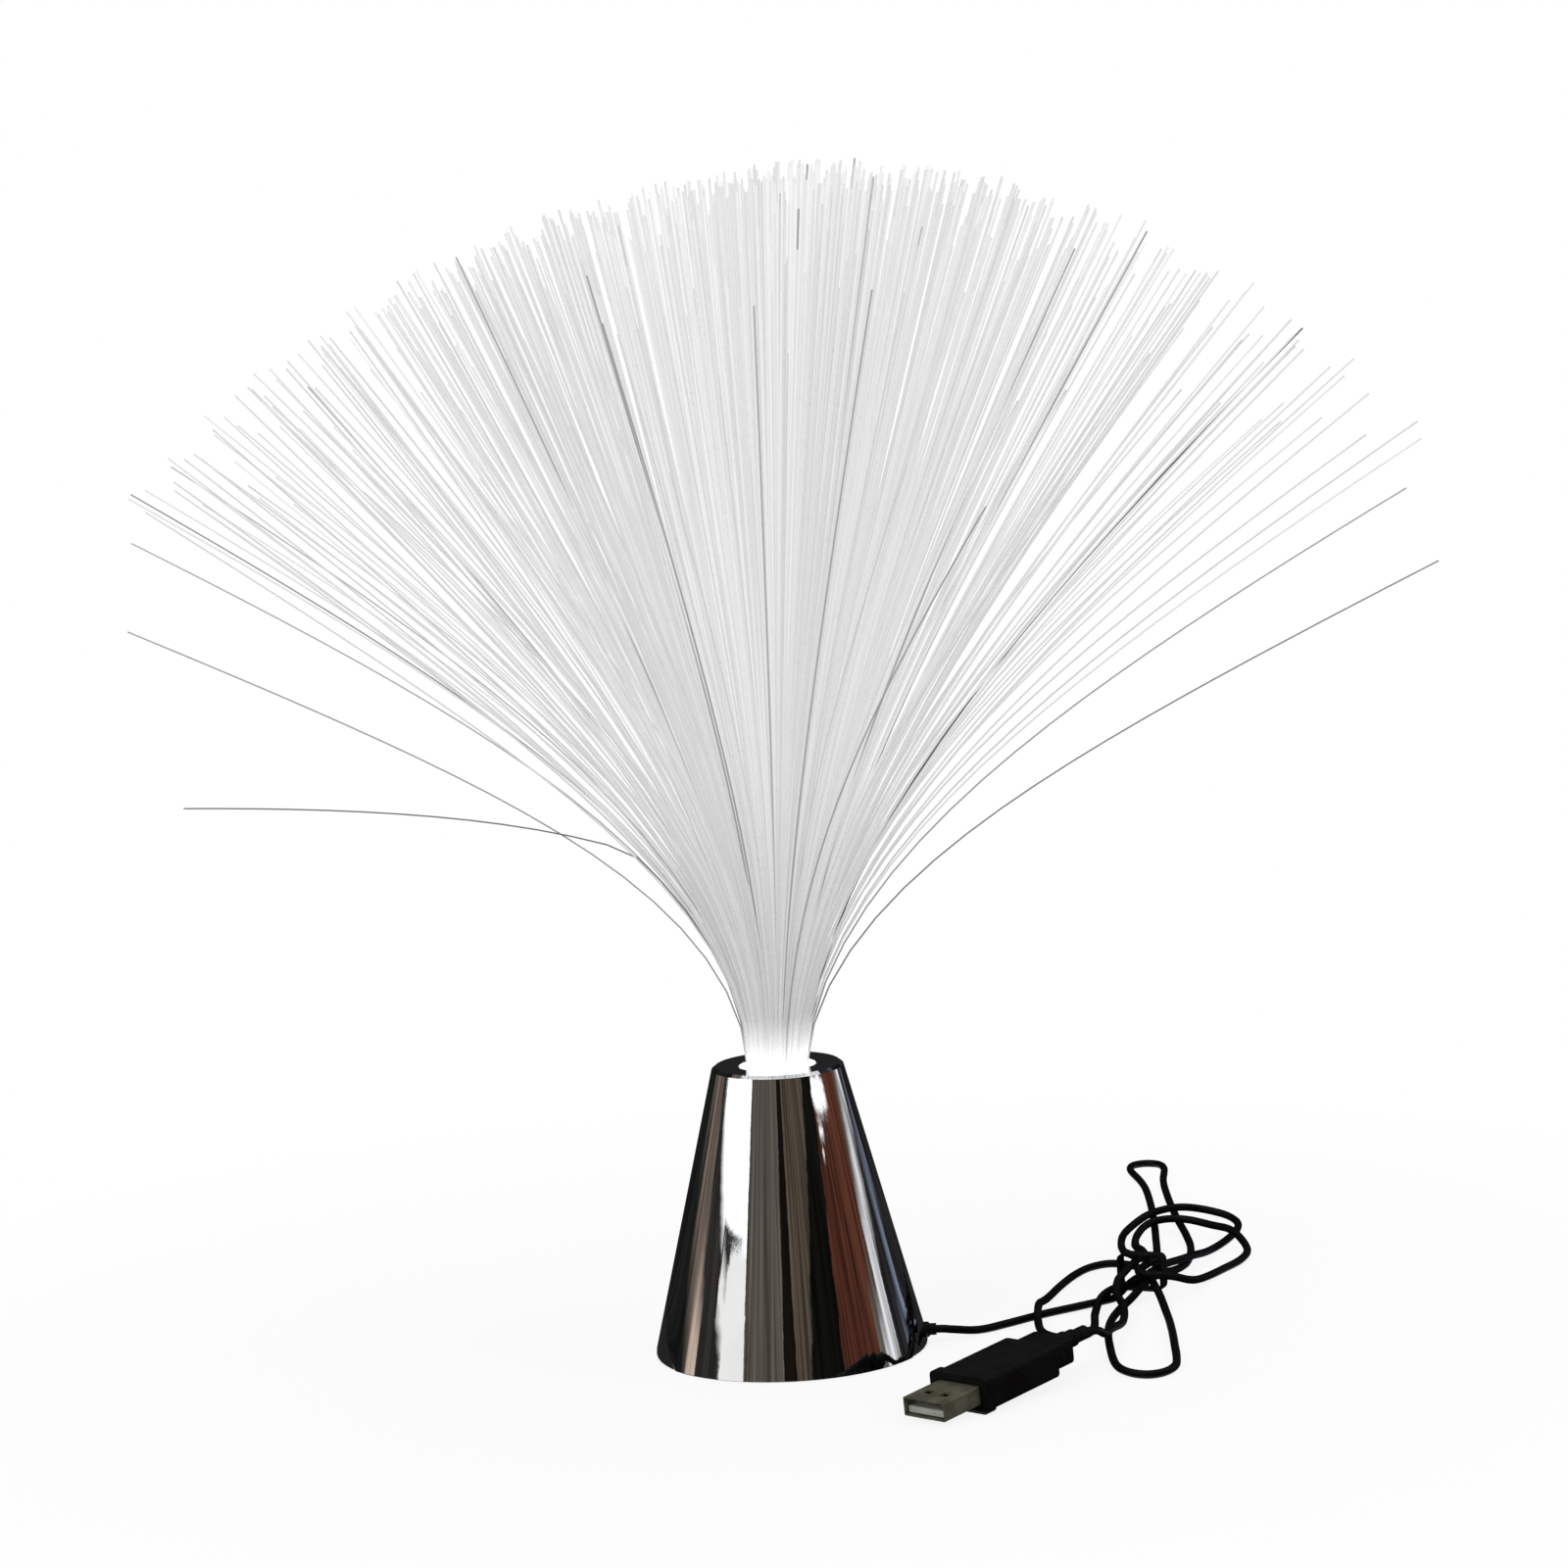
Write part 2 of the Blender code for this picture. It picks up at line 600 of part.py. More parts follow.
def build_led():
    spacer_inner = LED_LEAD_SPACING / 2 + LED_LEAD_WIDTH + CLEARANCE / 2
    flange = LED_RADIUS + LED_FLANGE_WIDTH
    spacer = [
        (spacer_inner, ON_BOARD), (flange, ON_BOARD),
        (flange, LED_FOOT - CLEARANCE), (spacer_inner, LED_FOOT - CLEARANCE),
    ]
    turned_piece("led_spacer", spacer, material("spacer", BLACK, 0.6), SMALL_SEGMENTS)
    dome = LED_FOOT + LED_HEIGHT - LED_RADIUS
    steps = 5
    arc = [math.pi / 2 * step / steps for step in range(steps + 1)]
    profile = [(0, LED_FOOT), (flange, LED_FOOT), (flange, LED_FOOT + LED_FLANGE_HEIGHT)]
    profile += [(LED_RADIUS, LED_FOOT + LED_FLANGE_HEIGHT)]
    profile += [(LED_RADIUS * math.cos(a), dome + LED_RADIUS * math.sin(a)) for a in arc[:-1]]
    profile += [(0, dome + LED_RADIUS)]
    turned_piece("led", profile, material("led epoxy", CLEAR_WHITE, 0.1), SMALL_SEGMENTS)
    tin = material("tinned lead", STEEL, 0.3, 1.0)
    half = LED_LEAD_WIDTH / 2
    for number, side in enumerate((-1, 1), 1):
        x = side * LED_LEAD_SPACING / 2
        low = (x - half, -half, BOARD_HEIGHT - LED_LEAD_TAIL)
        box_piece(f"led_lead_{number}", low, (x + half, half, LED_FOOT - CLEARANCE), tin)


def build_bundle_holders():
    ferrule = [
        (FERRULE_INNER, BUNDLE_FOOT), (FERRULE_OUTER, BUNDLE_FOOT),
        (FERRULE_OUTER, FERRULE_HEAD), (FERRULE_INNER, FERRULE_HEAD),
    ]
    turned_piece("bundle_ferrule", ferrule, material("ferrule", STEEL, 0.35, 1.0), INNER_SEGMENTS)
    foot = FERRULE_HEAD + CLEARANCE
    head = BASE_HEIGHT - COLLAR_RECESS
    outer = TOP_HOLE_DIAMETER / 2 - CLEARANCE
    collar = [
        (FERRULE_INNER, foot),
        (outer, foot),
        (outer, head - HOLE_CHAMFER),
        (outer - HOLE_CHAMFER, head),
        (FERRULE_INNER, head),
    ]
    turned_piece("light_collar", collar, material("collar", CLEAR_WHITE, 0.3))
    socket = FERRULE_OUTER + CLEARANCE
    throat = LED_RADIUS + LED_FLANGE_WIDTH + CLEARANCE
    throat_top = LED_FOOT + LED_FLANGE_HEIGHT + CLEARANCE
    cup = [
        (CUP_RADIUS, ON_BOARD),
        (CUP_RADIUS, CUP_LEDGE + CUP_SOCKET_DEPTH),
        (socket, CUP_LEDGE + CUP_SOCKET_DEPTH),
        (socket, CUP_LEDGE),
        (FERRULE_OUTER - CUP_MOUTH_INSET, CUP_LEDGE),
        (throat, throat_top),
        (throat, throat_top - CUP_FLOOR),
        (CUP_RADIUS - CUP_WALL, throat_top - CUP_FLOOR),
        (CUP_RADIUS - CUP_WALL, ON_BOARD),
    ]
    turned_piece("reflector_cup", cup, material("reflector", WHITE, 0.4), INNER_SEGMENTS)


def fibre_path(radius, length):
    """Points (outwards, upwards, angle) along a fibre that starts upright at this radius."""
    share = radius / BUNDLE_RADIUS
    final = FIBRE_FAN_ANGLE * share + FIBRE_STRAY_ANGLE * share**FIBRE_STRAY_POWER
    step = length / PATH_STEPS
    outwards, upwards = radius, 0.0
    points = [(outwards, upwards, 0.0)]
    for index in range(PATH_STEPS):
        angle = final * (1 - math.exp(-(index + 1) * step / FIBRE_BEND_LENGTH))
        outwards += step * math.sin(angle)
        upwards += step * math.cos(angle)
        points.append((outwards, upwards, angle))
    return points


def fibre_rings(corners, number):
    """The three-cornered rings of one strand, from just above its root to its tip."""
    middle = sum(corners, Vector()) / len(corners)
    radius = math.hypot(middle.x, middle.y)
    azimuth = math.atan2(middle.y, middle.x)
    outward = Vector((math.cos(azimuth), math.sin(azimuth), 0))
    length = FIBRE_LENGTH - FIBRE_LENGTH_SPREAD * ((number * GOLDEN_SHARE) % 1)
    path = fibre_path(radius, length)
    shares = OUTER_RING_SHARES if radius > OUTER_RADIUS_SHARE * BUNDLE_RADIUS else INNER_RING_SHARES
    for share in shares:
        outwards, upwards, angle = path[round(share * PATH_STEPS)]
        centre = outward * outwards + Vector((FIBRE_LEAN_SHARE * upwards, 0, BUNDLE_HEAD + upwards))
        turn = Matrix.Rotation(angle, 3, Vector((0, 0, 1)).cross(outward))
        size = 1 - (1 - FIBRE_TIP_SHARE) * share
        yield [centre + turn @ ((corner - middle) * size) for corner in corners]


def lattice():
    """Corner points of a triangular lattice, and its upward and downward triangles in the bundle."""
    reach = math.ceil(BUNDLE_RADIUS / FIBRE_PITCH) + 2
    row = FIBRE_PITCH * math.sqrt(3) / 2

    def place(i, j):
        return Vector(((i + j / 2) * FIBRE_PITCH, (j - 1 / 3) * row, BUNDLE_HEAD))

    def inside(cells):
        return all(math.hypot(*place(i, j).xy) < BUNDLE_RADIUS for i, j in cells)

    upward, downward = [], []
    for j in range(-reach, reach + 1):
        for i in range(-reach - j // 2 - 1, reach - j // 2 + 1):
            pointing_up = ((i, j), (i + 1, j), (i, j + 1))
            pointing_down = ((i + 1, j), (i + 1, j + 1), (i, j + 1))
            if inside(pointing_up):
                upward.append(pointing_up)
            if inside(pointing_down):
                downward.append(pointing_down)
    return place, upward, downward


def build_fibre_spray():
    """The bound bundle with a strand on each upward triangle of its head."""
    place, upward, downward = lattice()
    shape = bmesh.new()
    corners = {}
    for cell in upward + downward:
        for key in cell:
            if key not in corners:
                corners[key] = shape.verts.new(place(*key))
    for cell in downward:
        shape.faces.new([corners[key] for key in cell])
    for number, cell in enumerate(upward):
        ring = [corners[key] for key in cell]
        for points in fibre_rings([vert.co.copy() for vert in ring], number):
            following = [shape.verts.new(point) for point in points]
            for a in range(3):
                b = (a + 1) % 3
                shape.faces.new((ring[a], ring[b], following[b], following[a]))
            ring = following
        shape.faces.new(ring)
    open_edges = [edge for edge in shape.edges if len(edge.link_faces) == 1]
    wall = bmesh.ops.extrude_edge_only(shape, edges=open_edges)["geom"]
    lower = [item for item in wall if isinstance(item, bmesh.types.BMVert)]
    for vert in lower:
        vert.co.z = BUNDLE_FOOT
    foot = [edge for edge in shape.edges if all(vert in set(lower) for vert in edge.verts)]
    bmesh.ops.contextual_create(shape, geom=foot)
    add_mesh("fibre_spray", shape, material("fibres", WHITE, 0.25), smooth=False)
    print(f"fibre_spray: {len(upward)} strands")


def build_switch():
    x, y = SWITCH_PLACE
    steel = material("switch case", STEEL, 0.35, 1.0)
    low = (x - SWITCH_LENGTH / 2, y - SWITCH_WIDTH / 2, SWITCH_FOOT)
    high = (x + SWITCH_LENGTH / 2, y + SWITCH_WIDTH / 2, SWITCH_HEAD)
    housing = box_piece("switch_housing", low, high, steel)
    half = (SLIDER_LENGTH + SWITCH_TRAVEL) / 2 + CLEARANCE
    side = SLIDER_WIDTH / 2 + CLEARANCE
    low = (x - half, y - side, SLIDER_FOOT - CLEARANCE)
    high = (x + half, y + side, SLIDER_HEAD + CLEARANCE)
    combine(housing, box_piece("switch_cavity", low, high), "DIFFERENCE")
    half = (KNOB_LENGTH + SWITCH_TRAVEL) / 2 + CLEARANCE
    side = KNOB_WIDTH / 2 + CLEARANCE
    low = (x - half, y - side, SWITCH_FOOT - OVERRUN)
    high = (x + half, y + side, SLIDER_FOOT)
    combine(housing, box_piece("switch_mouth", low, high), "DIFFERENCE")
    x_rest = x - SWITCH_TRAVEL / 2
    low = (x_rest - SLIDER_LENGTH / 2, y - SLIDER_WIDTH / 2, SLIDER_FOOT)
    high = (x_rest + SLIDER_LENGTH / 2, y + SLIDER_WIDTH / 2, SLIDER_HEAD)
    knob = box_piece("switch_knob", low, high, material("knob plastic", BLACK, 0.5))
    low = (x_rest - KNOB_LENGTH / 2, y - KNOB_WIDTH / 2, KNOB_LIFT)
    high = (x_rest + KNOB_LENGTH / 2, y + KNOB_WIDTH / 2, SLIDER_FOOT + SLIDER_HEIGHT / 2)
    combine(knob, box_piece("knob_stem", low, high), "UNION")
    tin = material("terminal", STEEL, 0.3, 1.0)
    for number in range(3):
        middle = x + (number - 1) * TERMINAL_SPACING
        low = (middle - TERMINAL_WIDTH / 2, y - TERMINAL_THICKNESS / 2, SWITCH_HEAD + CLEARANCE)
        high = (middle + TERMINAL_WIDTH / 2, y + TERMINAL_THICKNESS / 2, BOARD_HEIGHT - CLEARANCE)
        box_piece(f"switch_terminal_{number + 1}", low, high, tin)


def grommet_inner_end():
    """Where the outlet's inner flange ends, clear of the sloping wall at the flange's top."""
    return shell_inner(CORD_HEIGHT + GROMMET_FLANGE) - CLEARANCE - GROMMET_FLANGE_LENGTH


def grommet_nose():
    return shell_outer(SHELL_LIFT) + GROMMET_SHOULDER + GROMMET_NOSE_LENGTH


def build_grommet():
    """The moulded outlet, turned about the cord's axis, which runs along X."""
    inner = grommet_inner_end()
    shoulder = shell_outer(SHELL_LIFT) + GROMMET_SHOULDER
    profile = [
        (0, inner),
        (GROMMET_FLANGE, inner),
        (GROMMET_FLANGE, inner + GROMMET_FLANGE_LENGTH),
        (GROMMET_RADIUS, inner + GROMMET_FLANGE_LENGTH),
        (GROMMET_RADIUS, shoulder - GROMMET_SHOULDER),
        (GROMMET_NOSE_RADIUS, shoulder),
        (GROMMET_NOSE_RADIUS, grommet_nose()),
        (0, grommet_nose()),
    ]
    grommet = turned_piece("cord_grommet", profile, material("grommet", BLACK, 0.6), SMALL_SEGMENTS)
    grommet.rotation_euler = (0, math.pi / 2, 0)
    grommet.location = (0, 0, CORD_HEIGHT)


def smooth_curve(points, step):
    """Points at an even step along a smooth curve through the given ones."""
    points = [Vector(point) for point in points]
    ends = [2 * points[0] - points[1]] + points + [2 * points[-1] - points[-2]]
    fine = []
    for before, start, end, after in zip(ends, ends[1:], ends[2:], ends[3:]):
        span = (end - start).length
        leave = (end - before) * (span / ((end - start).length + (start - before).length))
        arrive = (after - start) * (span / ((after - end).length + (end - start).length))
        count = max(2, math.ceil(span / step) * 4)
        for index in range(count):
            t = index / count
            fine.append(
                start * (2 * t**3 - 3 * t**2 + 1) + end * (3 * t**2 - 2 * t**3)
                + leave * (t**3 - 2 * t**2 + t) + arrive * (t**3 - t**2)
            )
    fine.append(points[-1])
    return even_points(fine, step)


def even_points(points, step):
    lengths = [0.0]
    for a, b in zip(points, points[1:]):
        lengths.append(lengths[-1] + (b - a).length)
    count = max(2, round(lengths[-1] / step))
    chosen, at = [], 0
    for index in range(count + 1):
        want = lengths[-1] * index / count
        while at < len(points) - 2 and lengths[at + 1] < want:
            at += 1
        gap = lengths[at + 1] - lengths[at]
        chosen.append(points[at].lerp(points[at + 1], (want - lengths[at]) / gap if gap else 0))
    return chosen


def tube(name, points, radius, finish, resolution=2):
    """An unbroken round tube along the points, with closed ends."""
    curve = bpy.data.curves.new(name, "CURVE")
    curve.dimensions = "3D"
    curve.bevel_depth = radius
    curve.bevel_resolution = resolution
    curve.use_fill_caps = True
    spline = curve.splines.new("POLY")
    spline.points.add(len(points) - 1)
    for spot, point in zip(spline.points, points):
        spot.co = (*point, 1)
    return add_object(name, curve, finish)


def build_wires():
    start = grommet_inner_end() - CLEARANCE
    x_land, y_land = WIRE_LANDING
    top = BOARD_HEIGHT - CLEARANCE
    rise = top - CORD_HEIGHT
    x_middle = (start + x_land) / 2 + GROMMET_FLANGE
    for name, side, colour in (("wire_red", 1, RED), ("wire_black", -1, BLACK)):
        route = [
            (start, side * WIRE_SPREAD, CORD_HEIGHT),
            (start - GROMMET_FLANGE_LENGTH, side * WIRE_SPREAD, CORD_HEIGHT),
            (x_middle, side * (WIRE_SPREAD + y_land) / 2, CORD_HEIGHT + rise / 2),
            (x_land + GROMMET_FLANGE_LENGTH, side * y_land, top - rise / 4),
            (x_land, side * y_land, top - GROMMET_FLANGE_LENGTH),
            (x_land, side * y_land, top),
        ]
        points = even_points(smooth_curve(route, LAY_STEP), (start - x_land) / WIRE_POINTS)
        tube(name, points, WIRE_RADIUS, material(name, colour, 0.5), resolution=1)


def tie_point(column, along):
    """A place in the tie, with the column counted to the right and the distance along its heading."""
    ahead = Vector((math.cos(TIE_HEADING), math.sin(TIE_HEADING)))
    right = Vector((ahead.y, -ahead.x))
    return Vector(TIE_PLACE) + right * (column * COLUMN_STEP) + ahead * along


def loops_route():
    """The flat route of the tied cord, which runs straight each time it passes the tie."""
    last = len(LOOPS) - 1
    route = []
    for number, (column, way, free_points) in enumerate(LOOPS):
        before = -TIE_RUN if number == 0 else -TIE_RUN / 2
        after = TIE_RUN if number == last else TIE_RUN / 2
        stops = [before, -TIE_LENGTH / 2, TIE_LENGTH / 2, after]
        route += [tie_point(column, way * stop) for stop in stops] + list(free_points)
    return route


def lay(route, beneath):
    """Lays a flat route on the surface and over the cord that already lies there.

    It returns points at an even step. Where the route meets an earlier stretch it rises over
    it in one long low hump, and at the tie it lies on the tie's band.
    """
    flat = smooth_curve([(*point, 0) for point in route], LAY_STEP)
    apart = CORD_DIAMETER + CORD_GAP
    skip = round(2 * apart / LAY_STEP)
    ahead = Vector((math.cos(TIE_HEADING), math.sin(TIE_HEADING)))
    floor, crossings = [], []
    for here, point in enumerate(flat):
        need = CORD_RADIUS
        offset = point.xy - Vector(TIE_PLACE)
        if abs(offset.dot(ahead)) < TIE_LENGTH and offset.length < TIE_RUN:
            need += TIE_FLOOR
        for other in beneath:
            away = (point.xy - other.xy).length
            joined = here < skip and (other.xy - flat[0].xy).length < 2 * apart
            if away < apart and not joined:
                need = max(need, other.z + math.sqrt(apart**2 - away**2))
        floor.append(need)
        for earlier in range(here - skip):
            away = (point.xy - flat[earlier].xy).length
            if away < apart:
                crossings.append((here, earlier, math.sqrt(apart**2 - away**2)))
    heights = floor
    for _ in range(LAY_PASSES):
        need = list(floor)
        for here, earlier, rise in crossings:
            need[here] = max(need[here], heights[earlier] + rise)
        heights = filled_valleys(humps_over(need))
    return [Vector((point.x, point.y, height)) for point, height in zip(flat, heights)]


def humps_over(need):
    """Heights with a long low hump over each point that has to be raised."""
    apart = CORD_DIAMETER + CORD_GAP
    heights = [CORD_RADIUS] * len(need)
    for here, height in enumerate(need):
        lift = height - CORD_RADIUS
        if lift <= 0:
            continue
        reach = max(1, round(HUMP_LENGTH * math.sqrt(lift / apart) / LAY_STEP))
        for index in range(max(0, here - reach), min(len(need), here + reach + 1)):
            share = abs(index - here) / reach
            heights[index] = max(heights[index], CORD_RADIUS + lift * easing(share))
    return heights


def filled_valleys(heights):
    """Rounds the sharp dips between humps, and lowers nothing."""
    reach = round(VALLEY_REACH / LAY_STEP)
    for _ in range(VALLEY_PASSES):
        means = list(heights)
        for index in range(reach, len(heights) - reach):
            near = heights[index - reach:index + reach + 1]
            means[index] = sum(near) / len(near)
        heights = [max(pair) for pair in zip(heights, means)]
    return heights


def easing(share):
    """Falls smoothly from 1 to 0 while the share grows from 0 to 1."""
    return (1 + math.cos(math.pi * min(1, share))) / 2


def thinned(points, step, turn):
    """Keeps a point at each step of length or of turning, whichever comes first."""
    kept, spent = [points[0]], 0.0
    for before, here, after in zip(points, points[1:], points[2:]):
        spent += (here - before).length / step + (here - before).angle(after - here, 0) / turn
        if spent >= 1:
            kept.append(here)
            spent = 0.0
    return kept + [points[-1]]


def segment_gap(a, b, c, d):
    """The least distance between two straight pieces, sampled along the first."""
    span = d - c
    best = math.inf
    for index in range(5):
        point = a.lerp(b, index / 4)
        share = min(1, max(0, (point - c).dot(span) / span.length_squared))
        best = min(best, (point - c - span * share).length)
    return best


def least_gap(points):
    """The least clear distance between parts of the tube that aren't next to each other."""
    skip = 3
    pieces = list(zip(points, points[1:]))
    return min(
        segment_gap(*pieces[i], *pieces[j])
        for i in range(len(pieces))
        for j in range(i + skip, len(pieces))
    ) - CORD_DIAMETER


def cord_lead_path():
    """The centreline from the base to the tie, which falls from its outlet to the surface."""
    start = grommet_nose() + CLEARANCE
    column = LOOPS[0][0]
    arrival = [tie_point(column, -TIE_RUN - CORD_DIAMETER), tie_point(column, -TIE_RUN)]
    route = [(start, 0), (start + CORD_DIAMETER, 0), *LEAD_ROUTE, *arrival]
    path = smooth_curve([(*point, CORD_RADIUS) for point in route], LAY_STEP)
    for point in path:
        point.z += (CORD_HEIGHT - CORD_RADIUS) * easing((point.x - start) / HUMP_LENGTH)
    return path


def cord_tail_path(loops):
    """The centreline from the tie to the plug, which meets the loops and the strain relief."""
    column = LOOPS[-1][0]
    departure = [tie_point(column, -TIE_RUN), tie_point(column, -TIE_RUN - CORD_DIAMETER)]
    frame = plug_frame()
    behind, relief = [
        frame @ Vector((plug_length() + past, 0, 0)) for past in (2 * CORD_DIAMETER, CLEARANCE)
    ]
    path = lay([*departure, *TAIL_ROUTE, behind.xy, relief.xy], loops)
    for index, point in enumerate(path):
        from_start = index * LAY_STEP
        from_end = (len(path) - 1 - index) * LAY_STEP
        at_start = (loops[-1].z - CORD_RADIUS) * easing(from_start / HUMP_LENGTH)
        at_end = (relief.z - CORD_RADIUS) * easing(from_end / HUMP_LENGTH / 2)
        point.z = max(point.z, CORD_RADIUS + at_start, CORD_RADIUS + at_end)
    return path


def path_length(path):
    return sum((b - a).length for a, b in zip(path, path[1:]))


def start_later(path, distance):
    """Moves the path's first point along towards the second."""
    path[0] = path[0].lerp(path[1], min(1, distance / (path[1] - path[0]).length))


def build_cord():
    jacket = material("cord jacket", BLACK, 0.45)
    lead = cord_lead_path()
    loops = lay(loops_route(), lead)
    tail = cord_tail_path(loops)
    length = sum(path_length(path) for path in (lead, loops, tail))
    loops_tube = thinned(loops, LOOP_POINT_STEP, LOOP_POINT_TURN)
    start_later(loops_tube, CORD_JOINT_GAP)
    start_later(tail, CORD_JOINT_GAP)
    tube("cord_lead", even_points(lead, CORD_POINT_STEP), CORD_RADIUS, jacket)
    tube("cord_loops", loops_tube, CORD_RADIUS, jacket, resolution=1)
    tube("cord_tail", even_points(tail, CORD_POINT_STEP), CORD_RADIUS, jacket)
    print(f"cord: {length:.3f} m long, loops {len(loops_tube)} points")
    print(f"cord_loops: least gap to itself {1000 * least_gap(loops_tube):.2f} mm")
    return loops_tube


def inside_tie(points):
    """How far the cord's passes reach inside the tie: to either side, and upwards."""
    ahead = Vector((math.cos(TIE_HEADING), math.sin(TIE_HEADING)))
    right = Vector((ahead.y, -ahead.x))
    half, top = COLUMN_STEP, TIE_FLOOR
    for a, b in zip(points, points[1:]):
        for step in range(TIE_SAMPLES + 1):
            point = a.lerp(b, step / TIE_SAMPLES)
            offset = point.xy - Vector(TIE_PLACE)
            if abs(offset.dot(ahead)) <= TIE_LENGTH / 2 and abs(offset.dot(right)) < 2 * COLUMN_STEP:
                half = max(half, abs(offset.dot(right)))
                top = max(top, point.z)
    return half + CORD_RADIUS + CLEARANCE, top + CORD_RADIUS + CLEARANCE


def build_tie(loops_tube):
    """A band drawn round the cord's passes, two deep and three across."""
    half, top = inside_tie(loops_tube)
    steps = 4

    def outline(grow):
        corner = CORD_RADIUS + grow
        middle = [(half - CORD_RADIUS, top - CORD_RADIUS, 0), (CORD_RADIUS - half, top - CORD_RADIUS, 90)]
        middle += [(CORD_RADIUS - half, TIE_THICKNESS + CORD_RADIUS, 180)]
        middle += [(half - CORD_RADIUS, TIE_THICKNESS + CORD_RADIUS, 270)]
        for x, z, degrees in middle:
            for step in range(steps + 1):
                angle = math.radians(degrees + 90 * step / steps)
                yield x + corner * math.cos(angle), z + corner * math.sin(angle)

    shape = bmesh.new()
    rings = []
    for along in (-TIE_LENGTH / 2, TIE_LENGTH / 2):
        for grow in (0, TIE_THICKNESS):
            rings.append([shape.verts.new((x, along, z)) for x, z in outline(grow)])
    count = len(rings[0])
    for first, second in ((0, 1), (1, 3), (3, 2), (2, 0)):
        for a in range(count):
            b = (a + 1) % count
            shape.faces.new((rings[first][a], rings[first][b], rings[second][b], rings[second][a]))
    tie = add_mesh("cord_tie", shape, material("tie", BLACK, 0.5))
    tie.location = (*TIE_PLACE, 0)
    tie.rotation_euler = (0, 0, TIE_HEADING - math.pi / 2)


def plug_length():
    return SHELL_REACH + PLUG_BODY_LENGTH + PLUG_NECK_LENGTH + RELIEF_LENGTH


def plug_frame():
    """The plug's own frame: X runs from the nose's middle to the cord, Z is its broad side.

    The lower edge of the moulding's front lip rests on the surface.
    """
    half = PLUG_BODY_THICKNESS / 2 + PLUG_LIP_STEP
    height = half * math.cos(PLUG_TILT) - SHELL_REACH * math.sin(PLUG_TILT)
    place = Matrix.Translation((*PLUG_NOSE, height))
    return place @ Matrix.Rotation(PLUG_HEADING, 4, "Z") @ Matrix.Rotation(-PLUG_TILT, 4, "Y")


def rounded_block(shape, low_x, high_x, width, thickness, bevel):
    add_box(shape, (low_x, -width / 2, -thickness / 2), (high_x, width / 2, thickness / 2))
    edges = [edge for edge in shape.edges if edge.verts[0].co.x != edge.verts[1].co.x]
    bmesh.ops.bevel(shape, geom=edges, offset=bevel, segments=3, profile=0.5, affect="EDGES")


def block_piece(name, low_x, high_x, width, thickness, bevel, finish=None):
    shape = bmesh.new()
    rounded_block(shape, low_x, high_x, width, thickness, bevel)
    return add_mesh(name, shape, finish)


def relief_profile(start):
    """The ribbed, tapering strain relief as (radius, distance) points."""
    pitch = RELIEF_LENGTH / RELIEF_RIBS
    profile = [(0, start - OVERRUN), (RELIEF_RADIUS, start - OVERRUN)]
    for rib in range(RELIEF_RIBS):
        at = start + rib * pitch
        radius = RELIEF_RADIUS + (RELIEF_END_RADIUS - RELIEF_RADIUS) * rib / (RELIEF_RIBS - 1)
        profile += [(radius, at), (radius, at + pitch / 2)]
        if rib < RELIEF_RIBS - 1:
            profile += [(radius - RELIEF_GROOVE, at + pitch / 2), (radius - RELIEF_GROOVE, at + pitch)]
    return profile + [(RELIEF_END_RADIUS, start + RELIEF_LENGTH), (0, start + RELIEF_LENGTH)]


def build_plug():
    frame = bpy.data.objects.new("plug_frame", None)
    bpy.context.scene.collection.objects.link(frame)
    frame.matrix_world = plug_frame()
    pieces = build_plug_body() + build_plug_shell()
    for piece in pieces:
        piece.parent = frame


def build_plug_body():
    moulded = material("plug moulding", BLACK, 0.5)
    rear = SHELL_REACH + PLUG_BODY_LENGTH
    neck_end = rear + PLUG_NECK_LENGTH
    body = block_piece(
        "plug_body", SHELL_REACH, rear, PLUG_BODY_WIDTH, PLUG_BODY_THICKNESS, PLUG_BODY_BEVEL, moulded
    )
    lip = block_piece(
        "plug_lip", SHELL_REACH, SHELL_REACH + PLUG_LIP_LENGTH, PLUG_BODY_WIDTH + 2 * PLUG_LIP_STEP,
        PLUG_BODY_THICKNESS + 2 * PLUG_LIP_STEP, PLUG_BODY_BEVEL,
    )
    neck = block_piece(
        "plug_neck", rear - OVERRUN, neck_end, PLUG_NECK_WIDTH, PLUG_NECK_THICKNESS, PLUG_BODY_BEVEL
    )
    relief = turned_piece("plug_relief", relief_profile(neck_end), None, SMALL_SEGMENTS)
    relief.rotation_euler = (0, math.pi / 2, 0)
    seat_low = (SHELL_REACH - OVERRUN, -SHELL_WIDTH / 2 - CLEARANCE, -SHELL_THICKNESS / 2 - CLEARANCE)
    seat_high = (
        SHELL_REACH + SHELL_SEAT + CLEARANCE, SHELL_WIDTH / 2 + CLEARANCE,
        SHELL_THICKNESS / 2 + CLEARANCE,
    )
    seat = box_piece("plug_seat", seat_low, seat_high)
    for extra in (lip, neck, relief):
        combine(body, extra, "UNION")
    combine(body, seat, "DIFFERENCE")
    return [body, lip, neck, relief, seat]


